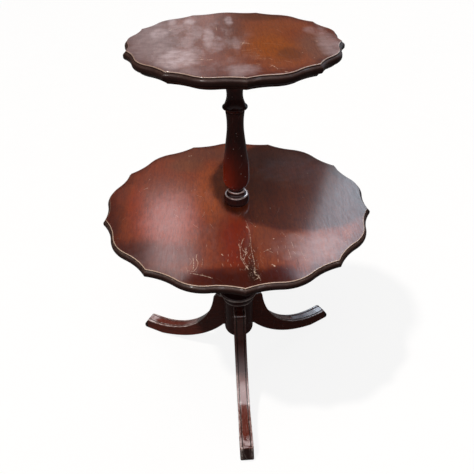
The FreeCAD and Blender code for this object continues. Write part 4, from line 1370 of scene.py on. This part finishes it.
LOWER_LOOKS = {
    "sheen": 0.11,
    "wear": 0.56,
    "bare": 0.62,
    "patina": 0.62,
    "patina_width": 0.030,
    "hazes_and_reflections": [
        (-150, -40, 60, 110, 0.13),
        (140, 130, 100, 80, 0.15),
        (-170, -190, 60, 50, 0.10),
        (150, -180, 90, 60, 0.30),
        (235, 10, 60, 120, 0.10),
    ],
    "veils_and_reflections": [(-130, -80, 120, 220, 0.08)],
    "stains": [
        (-150, -60, 85, 130, (172, 74, 60), 0.5),
        (-10, -150, 40, 130, (114, 34, 20), 0.85),
        (-60, 50, 45, 150, (158, 78, 40), 0.7),
        (-228, 10, 26, 90, (140, 54, 30), 0.6),
        (-272, -50, 34, 120, (76, 34, 24), 0.75),
        (-262, 60, 20, 70, (104, 50, 38), 0.65),
        (-215, -165, 80, 50, (64, 26, 20), 0.75),
        (-116, 180, 60, 50, (112, 70, 50), 0.6),
        (-70, -250, 62, 30, (78, 22, 14), 0.9),
        (-130, -185, 70, 50, (92, 46, 44), 0.5),
        (0, -264, 120, 42, (60, 18, 10), 0.95),
        (70, -256, 38, 30, (66, 18, 12), 0.9),
        (16, -250, 12, 42, (38, 22, 14), 0.85),
        (50, -130, 30, 45, (120, 60, 34), 0.5),
        (100, 200, 150, 60, (108, 68, 56), 0.7),
        (-60, 235, 160, 50, (98, 60, 46), 0.65),
        (60, 80, 70, 110, (104, 54, 32), 0.5),
        (14, -190, 24, 70, (62, 30, 18), 0.5),
        (75, -160, 60, 70, (108, 56, 42), 0.6),
    ],
    "scratches": [
        (-97, -192, -96, -230, 1.5, 1.1, 0.8),
        (-89, -186, -87, -208, -2.0, 1.1, 0.8),
        (-87, -208, -94, -234, 2.5, 1.0, 0.8),
        (-101, -241, -60, -258, 1.5, 1.0, 0.9),
        (-106, -233, -84, -240, 0.5, 0.8, 0.6),
        (-78, -196, -80, -222, 1.0, 0.7, 0.5),
        (15, -76, 21, -142, 1.5, 0.9, 0.55),
        (21, -142, 21, -198, -1.5, 0.9, 0.6),
        (20, -196, 20, -252, 2.0, 1.0, 0.7),
        (-5, -157, -3, -200, 1.0, 1.0, 0.8),
        (-3, -200, 8, -236, -1.0, 1.2, 1.0),
        (7, -140, -3, -182, -2.0, 0.9, 0.7),
        (9, -172, 5, -200, 1.0, 1.2, 0.9),
        (2, -178, 14, -206, 1.0, 0.9, 0.8),
        (14, -180, 2, -210, -1.0, 0.9, 0.8),
        (0, -204, 9, -238, 0.5, 1.3, 0.8),
        (22, -112, 21, -178, -2.0, 0.7, 0.4),
        (44, -186, 58, -178, 0.5, 1.0, 0.8),
        (50, -180, 62, -192, 0.0, 0.7, 0.6),
        (87, -124, 94, -143, 0.5, 0.9, 0.6),
        (101, -154, 103, -182, 1.0, 0.8, 0.6),
        (92, -182, 94, -210, 0.5, 0.7, 0.6),
        (117, -190, 121, -222, 1.0, 0.7, 0.5),
        (56, -227, 60, -232, 0.0, 2.4, 1.0),
        (15, -99, 17, -104, 0.0, 1.8, 1.0),
        (19, -244, 21, -249, 0.0, 1.8, 1.0),
        (21, -254, 29, -270, 2.0, 1.4, 0.7),
        (27, -256, 20, -268, 2.0, 1.4, 0.7),
        (-40, -188, -38, -192, 0.0, 1.6, 0.9),
        (-214, 69, -206, 74, 0.0, 1.2, 0.8),
        (-206, 110, -203, 116, 0.0, 1.0, 0.8),
        (-112, 225, -104, 226, 0.0, 1.5, 0.9),
    ],
    "scuffs": [
        (10, -195, 34, 75, 74.0, 0.42, 0.034, 0.0, 1.2, 0.9),
        (20, -235, 18, 50, 120.0, 0.34, 0.050, 0.0, 3.0, 0.8),
        (-30, -215, 20, 60, 60.0, 0.30, 0.030, 0.1, 0.9, 0.5),
        (-88, -220, 35, 50, 40.0, 0.45, 0.016, 0.1, 0.9, 0.6),
        (80, -200, 50, 50, 48.0, 0.30, 0.022, 0.1, 0.7, 0.6),
        (85, -10, 110, 100, 30.0, 0.10, 0.030, 0.8, 2.5, 0.28),
        (0, 0, 300, 300, 24.0, 0.24, 0.007, 0.2, 1.6, 0.30),
    ],
    "cracks": [
        (11, -176, 26, -214, 1.0, 1.0, 0.8),
        (72, -232, 83, -258, -3.0, 2.4, 0.95),
        (82, -256, 76, -270, 1.0, 1.8, 0.9),
        (66, -232, 72, -240, 0.0, 1.6, 0.8),
        (105, -213, 105, -250, 1.5, 1.0, 0.85),
        (97, -214, 95, -226, 0.5, 0.8, 0.7),
        (19, -206, 14, -262, 2.0, 3.2, 0.75),
        (24, -212, 27, -236, 1.0, 1.4, 0.7),
        (45, -236, 52, -266, 1.0, 1.2, 0.5),
    ],
}


# ---------------------------------------------------------------- operators


class SIDETABLE_OT_upper_top(bpy.types.Operator):
    """Make the upper scalloped top"""

    bl_idname = "sidetable.upper_top"
    bl_label = "Upper Top"

    def execute(self, context):
        sizes, finish = context.scene.table_tops, context.scene.table_finish
        front = FRONT + sizes.upper_turn
        radius, dip = sizes.upper_radius, sizes.upper_dip
        piece = scalloped_top("upper_top_board", radius, dip, front, UPPER_BOX, 0.0)
        polish = top_polish("Upper Top Polish", finish, UPPER_BOX[1].z, UPPER_LOOKS)
        hand_over(piece, "upper_top", polish)
        return {"FINISHED"}


class SIDETABLE_OT_lower_top(bpy.types.Operator):
    """Make the lower scalloped top"""

    bl_idname = "sidetable.lower_top"
    bl_label = "Lower Top"

    def execute(self, context):
        sizes, finish = context.scene.table_tops, context.scene.table_finish
        radius, dip = sizes.lower_radius, sizes.lower_dip
        piece = scalloped_top("lower_top_board", radius, dip, FRONT, LOWER_BOX, ROD_HOLE_RADIUS)
        polish = top_polish("Lower Top Polish", finish, LOWER_BOX[1].z, LOWER_LOOKS)
        hand_over(piece, "lower_top", polish)
        return {"FINISHED"}


class SIDETABLE_OT_upper_post(bpy.types.Operator):
    """Turn the upper column"""

    bl_idname = "sidetable.upper_post"
    bl_label = "Upper Column"

    def execute(self, context):
        finish = context.scene.table_finish
        profile = post_profile(context.scene.table_columns)
        piece = turned_piece("upper_column", profile, closes=False)
        # A low lift keeps this column near the darkest polish: partly painted shade, as it stands
        # in the upper top's shade.
        material, b, shader, wood, rubbed_and_glints, marks = dark_polish(
            "Upper Column Polish", finish, "", wear=0.66, dusty=0.34, gloss=0.20, lift=0.04
        )
        spot = b.node("ShaderNodeSeparateXYZ")
        b.feed(spot.inputs[0], b.place())
        x, _, z = b.wires(spot)
        floor = POST_BOX[0].z
        # Painted light: red bounce light from the lit lower top, painted on the bulb's left side.
        bulb = z.ease(floor + 0.165, floor + 0.080) * z.ease(floor + 0.034, floor + 0.056)
        left = x.ease(0.008, -0.027, 0.24, 1.0)
        wood = wood.covered(bulb * left * 0.9, finish.painted_bounce_light)
        finish_dark(b, shader, finish, wood, rubbed_and_glints, marks, 0.9)
        wax_lips(b, shader, rubbed_and_glints, floor + 0.018, floor + 0.036)
        hand_over(piece, "upper_post", material)
        return {"FINISHED"}


class SIDETABLE_OT_pillar(bpy.types.Operator):
    """Turn the lower column with its hub and ring"""

    bl_idname = "sidetable.pillar"
    bl_label = "Lower Column"

    def execute(self, context):
        scene, finish = context.scene, context.scene.table_finish
        leg_top = scene.table_legs.top
        profile = pillar_profile(scene.table_columns, leg_top / MM)
        piece = turned_piece("lower_column", profile, closes=True)
        # A low lift keeps this column near the darkest polish: partly painted shade, as it stands
        # in the lower top's shade.
        material, b, shader, wood, rubbed_and_glints, marks = dark_polish(
            "Lower Column Polish", finish, "", wear=0.6, dusty=0.10, gloss=0.24, lift=0.02
        )
        finish_dark(b, shader, finish, wood, rubbed_and_glints, marks, 0.7)
        wax_lips(b, shader, rubbed_and_glints, leg_top, leg_top + 0.040)
        hand_over(piece, "pillar", material)
        return {"FINISHED"}


class SIDETABLE_OT_legs(bpy.types.Operator):
    """Shape the three sabre legs"""

    bl_idname = "sidetable.legs"
    bl_label = "Sabre Legs"

    def execute(self, context):
        scene, finish = context.scene, context.scene.table_finish
        material, b, shader, wood, rubbed_and_glints, marks = dark_polish(
            "Sabre Leg Polish", finish, "grain", wear=0.68, dusty=0.07, gloss=0.24, lift=0.5
        )
        reach, upper = b.attribute("reach"), b.attribute("upper")
        grain = b.attribute("grain", "Vector")
        streaky = b.noise(b.mapped(grain, (1, 0.12, 1)), 420.0, 4.0, 0.6).ease(0.38, 0.62)
        patchy = b.noise(grain, 70.0, 4.0, 0.6).ease(0.36, 0.58)
        sweep = reach.ease(0.085, 0.14) * reach.ease(0.285, 0.262)
        # Painted highlight: along the sweep the upper face is lightened towards the thin polish
        # colour where it faces the bright sky.
        wood = wood.covered(sweep * upper * 0.45, finish.turned_light)
        toe = reach.ease(0.262, 0.282) * reach.ease(0.306, 0.301)
        wood = wood.covered(toe * patchy * upper * 0.95, finish.bloom_and_reflection)
        # Painted highlight: faint pale streaks on the sweep's upper face.
        wood = wood.covered(sweep * upper * streaky * 0.06, finish.bloom_and_reflection)
        # Painted reflection: a pale grey band on the upper face where the polish would mirror the
        # sky in front.
        painted_sky_reflection = reach.ease(0.078, 0.100) * reach.ease(0.190, 0.130)
        wood = wood.covered(painted_sky_reflection * upper * 0.26, finish.bloom_and_reflection)
        wood = wood.covered(reach.ease(0.2982, 0.3004) * 0.95, finish.rim)
        # Painted shade: the grooves are darkened to the moulding's near-black.
        hollow = b.attribute("hollow")
        wood = wood.covered(hollow * 0.85, finish.rim)
        # Rubbed edges, partly painted highlight: near the hub they stand in for glints on the front
        # leg's shoulder beads, and along the sweep for glints on the long edges.
        wear_and_glint_zone = reach.ease(0.085, 0.14, 0.12, 1.0) | reach.ease(0.074, 0.062, 0.0, 0.7)
        wear_and_glint_zone = wear_and_glint_zone * reach.ease(0.303, 0.297, 0.2, 1.0)
        rubbed_and_glints = rubbed_and_glints * wear_and_glint_zone * streaky.ease(0.0, 1.0, 0.2, 1.0)
        finish_dark(b, shader, finish, wood, rubbed_and_glints, marks, 0.85)
        b.feed(shader.inputs["Coat Weight"], (upper - hollow * 0.7).scaled(0.75, 0.2))
        hub = scene.table_columns.hub
        for number, (node, azimuth) in enumerate(LEG_AZIMUTHS.items()):
            piece = sabre_leg("sabre_" + node, scene.table_legs, hub, azimuth, number)
            hand_over(piece, node, material)
        return {"FINISHED"}


class SIDETABLE_OT_fittings(bpy.types.Operator):
    """Finish the blocks, dowels, screws, tie rod and glides"""

    bl_idname = "sidetable.fittings"
    bl_label = "Blocks and Fittings"

    def execute(self, context):
        finish = context.scene.table_finish
        steel = old_metal("Zinc-Plated Steel", finish.steel, srgb(104, 102, 100), 0.28)
        screws = old_metal("Screw Steel", srgb(120, 112, 100), srgb(70, 60, 52), 0.34)
        brass = old_metal("Turned Brass", finish.brass, srgb(112, 84, 46), 0.24)
        glides = old_metal("Worn Glide", srgb(186, 184, 178), srgb(110, 104, 96), 0.26)
        materials = {
            "upper_block": under_wood("Upper Block Stain", finish, 0.2),
            "lower_block": under_wood("Lower Block Stain", finish, 1.3),
            "leg_dowels": pale_wood("Dowel Wood", srgb(196, 156, 108)),
            "upper_block_screws": screws,
            "lower_block_screws": screws,
            "tie_rod": steel,
            "rod_washer": steel,
            "rod_nut": steel,
            "post_insert": brass,
            "foot_glides": glides,
        }
        for node, material in materials.items():
            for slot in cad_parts[node].material_slots:
                slot.material = material
        return {"FINISHED"}


# ---------------------------------------------------------------- stage


def round_sheet(name, radius, height, rings=20, segments=96):
    """A flat disc: rings at growing shares of the radius about one middle vertex."""
    turn = np.linspace(0, 2 * np.pi, segments, endpoint=False)
    shares = np.linspace(0.05, 1.0, rings) ** 2
    plan = radius * shares[:, None, None] * unit(turn)[None]
    z = np.full(plan.shape[:2] + (1,), height)
    vertices = np.vstack([np.concatenate([plan, z], -1).reshape(-1, 3), [[0, 0, height]]])
    middle = fan_faces(np.arange(segments), rings * segments, False)
    faces = [face[:, ::-1] for face in (grid_faces(rings, segments), middle)]
    return make_piece(name, vertices, faces, {}, sharp_degrees=60)


def floor_paint(tone):
    """Pale floor; to the lens it is lifted to the backdrop's white and keeps the shadow."""
    material = bpy.data.materials.new("Pale Floor")
    b = cleared(material)
    mottled = b.noise(b.place(), 9.0, 5.0, 0.6).ease(0.3, 0.7, 0.97, 1.0)
    matt = b.node("ShaderNodeBsdfDiffuse")
    b.feed(matt.inputs["Color"], b.blend(1.0, tone, mottled, "MULTIPLY"))
    lift = b.node("ShaderNodeEmission")
    camera, transmission, glossy = b.rays("Camera", "Transmission", "Glossy")
    seen = camera | transmission | glossy * FLOOR_IN_GLOSS
    b.feed(lift.inputs["Strength"], seen * 0.88)
    both = b.node("ShaderNodeAddShader", matt.outputs[0], lift.outputs[0])
    b.node("ShaderNodeOutputMaterial", both.outputs[0])
    return material


def studio_surroundings(fill):
    """White to the lens, soft as light, and in reflections pale openings among dark drapes.

    Directions are in degrees: azimuth clockwise from straight behind, and elevation. The drapes
    hang all along the back, with a pale opening to the left, dimmer low down, and a bluish one to
    the right whose edge leans left as it rises. Behind the lens the sky is open, brightest high up.
    """
    world = bpy.data.worlds.new("Studio")
    bpy.context.scene.world = world
    b = cleared(world)
    way = b.node("ShaderNodeSeparateXYZ")
    b.feed(way.inputs[0], b.place("Generated"))
    x, y, z = b.wires(way)
    azimuth = b.math("DEGREES", b.math("ARCTAN2", x, y))
    rise = b.math("DEGREES", b.math("ARCSINE", z))

    def band(start, full, fade, end):
        """Azimuths from full to fade, with soft sides."""
        return azimuth.ease(start, full) * azimuth.ease(end, fade)

    left = band(-10.6, -7.1, -5.8, -1.3) * rise.ease(29.5, 35.0, 0.0, 3.2)
    low = band(-10.0, -5.0, -1.5, 4.5) * rise.ease(26.0, 20.0, 0.0, 0.5)
    open_sky = rise.ease(12.0, 45.0, 0.0, 1.7) + rise.ease(48.0, 60.0, 0.0, 4.0)
    front = b.math("ABSOLUTE", azimuth).ease(60.0, 95.0) * open_sky
    above = rise.ease(62.0, 76.0, 0.0, 0.5)
    neutral = DRAPES | left | low | front | above
    leaning = (rise - 33.0).scaled(0.5, azimuth)
    right = leaning.ease(12.3, 15.2) * azimuth.ease(60.0, 40.0)
    right = right * (rise.ease(22.0, 28.0, 1.2, 2.5) + rise.ease(41.0, 43.5, 0.0, 4.0))
    warm, blue = b.scale((1.0, 0.94, 0.97), neutral), b.scale((0.72, 0.89, 1.07), right)
    pale = b.blend(1.0, warm, blue, "LIGHTEN")
    camera, transmission, glossy = b.rays("Camera", "Transmission", "Glossy")
    plain = b.blend(camera | transmission, (fill, fill, fill), (1.0, 1.0, 1.0))
    backdrop = b.node("ShaderNodeBackground")
    b.feed(backdrop.inputs["Color"], b.blend(glossy, plain, pale))
    b.node("ShaderNodeOutputWorld", backdrop.outputs[0])


def put(name, data, matrix):
    """Puts a lamp or a camera into the scene."""
    item = bpy.data.objects.new(name, data)
    bpy.context.scene.collection.objects.link(item)
    item.matrix_world = matrix
    return item


def facing(way):
    """Turns a lamp's or a camera's back towards a direction."""
    return way.to_track_quat("Z", "Y").to_matrix().to_4x4()


def soft_box(name, azimuth, elevation, distance, width, height, radiance, tint):
    """A soft box that faces the table: azimuth clockwise from behind, power from its radiance."""
    light = bpy.data.lights.new(name, "AREA")
    light.shape = "RECTANGLE"
    light.size, light.size_y = width, height
    light.energy = radiance * math.pi * width * height
    light.color = tint
    a, e = math.radians(azimuth), math.radians(elevation)
    way = Vector((math.sin(a) * math.cos(e), math.cos(a) * math.cos(e), math.sin(e)))
    middle = Vector((0, 0, 0.6))
    lamp = put(name, light, Matrix.Translation(middle + way * distance) @ facing(way))
    lamp.visible_camera = False


class SIDETABLE_OT_stage(bpy.types.Operator):
    """Set up the floor, the studio light and the camera"""

    bl_idname = "sidetable.stage"
    bl_label = "Stage"

    def execute(self, context):
        scene, light = context.scene, context.scene.table_light
        floor = round_sheet("floor", 9.0, 0.0)
        floor.data.materials.append(floor_paint(light.floor))
        floor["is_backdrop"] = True
        studio_surroundings(light.fill)

        key = bpy.data.lights.new("key", "SUN")
        key.energy, key.angle, key.color = light.sun, math.radians(3.0), (1.0, 0.97, 0.93)
        put("key", key, facing(Vector((-0.150, -0.081, 0.360))))
        soft_box("front_top", 190, 66, 4.0, 3.0, 3.0, 1.8, (1.0, 0.97, 0.98))
        soft_box("back_right", 27, 43, 8.0, 3.0, 4.6, 1.5, (0.86, 0.93, 1.0))

        lens = bpy.data.cameras.new("camera")
        lens.sensor_fit, lens.sensor_width, lens.lens = "HORIZONTAL", 36.0, 40.354
        lens.shift_x, lens.shift_y = -0.0069, -0.0270
        lens.clip_end = 50.0
        matrix = Matrix.Translation((-0.04651, -1.00703, 1.18774))
        for degrees, axis in ((-3.071, "Z"), (54.494, "X"), (-0.7907, "Z")):
            matrix = matrix @ Matrix.Rotation(math.radians(degrees), 4, axis)
        scene.camera = put("camera", lens, matrix)
        scene.view_settings.view_transform = "Standard"
        return {"FINISHED"}


# ---------------------------------------------------------------- panel and start


class SIDETABLE_PT_panel(bpy.types.Panel):
    """Sizes, finishes and the pieces of the table"""

    bl_idname = "SIDETABLE_PT_panel"
    bl_label = "Two-Tier Table"
    bl_space_type = "VIEW_3D"
    bl_region_type = "UI"
    bl_category = "Table"

    def draw(self, context):
        layout = self.layout
        for name, kind in GROUPS.items():
            box = layout.box()
            box.label(text=kind.__name__)
            for key in kind.__annotations__:
                box.prop(getattr(context.scene, name), key)
        column = layout.column(align=True)
        for operator in OPERATORS:
            column.operator(operator.bl_idname)


OPERATORS = (
    SIDETABLE_OT_upper_top,
    SIDETABLE_OT_lower_top,
    SIDETABLE_OT_upper_post,
    SIDETABLE_OT_pillar,
    SIDETABLE_OT_legs,
    SIDETABLE_OT_fittings,
    SIDETABLE_OT_stage,
)


def register():
    for kind in (*GROUPS.values(), *OPERATORS, SIDETABLE_PT_panel):
        bpy.utils.register_class(kind)
    for name, kind in GROUPS.items():
        setattr(bpy.types.Scene, name, bpy.props.PointerProperty(type=kind))


def unregister():
    for name in GROUPS:
        delattr(bpy.types.Scene, name)
    for kind in (SIDETABLE_PT_panel, *reversed(OPERATORS), *reversed(list(GROUPS.values()))):
        bpy.utils.unregister_class(kind)


def main():
    register()
    bpy.ops.sidetable.upper_top()
    bpy.ops.sidetable.lower_top()
    bpy.ops.sidetable.upper_post()
    bpy.ops.sidetable.pillar()
    bpy.ops.sidetable.legs()
    bpy.ops.sidetable.fittings()
    bpy.ops.sidetable.stage()
    boxes = {"cad": CAD_BOX, "visual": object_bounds()}
    {name: [list(corner) for corner in box] for name, box in boxes.items()}


if __name__ == "__main__":
    main()
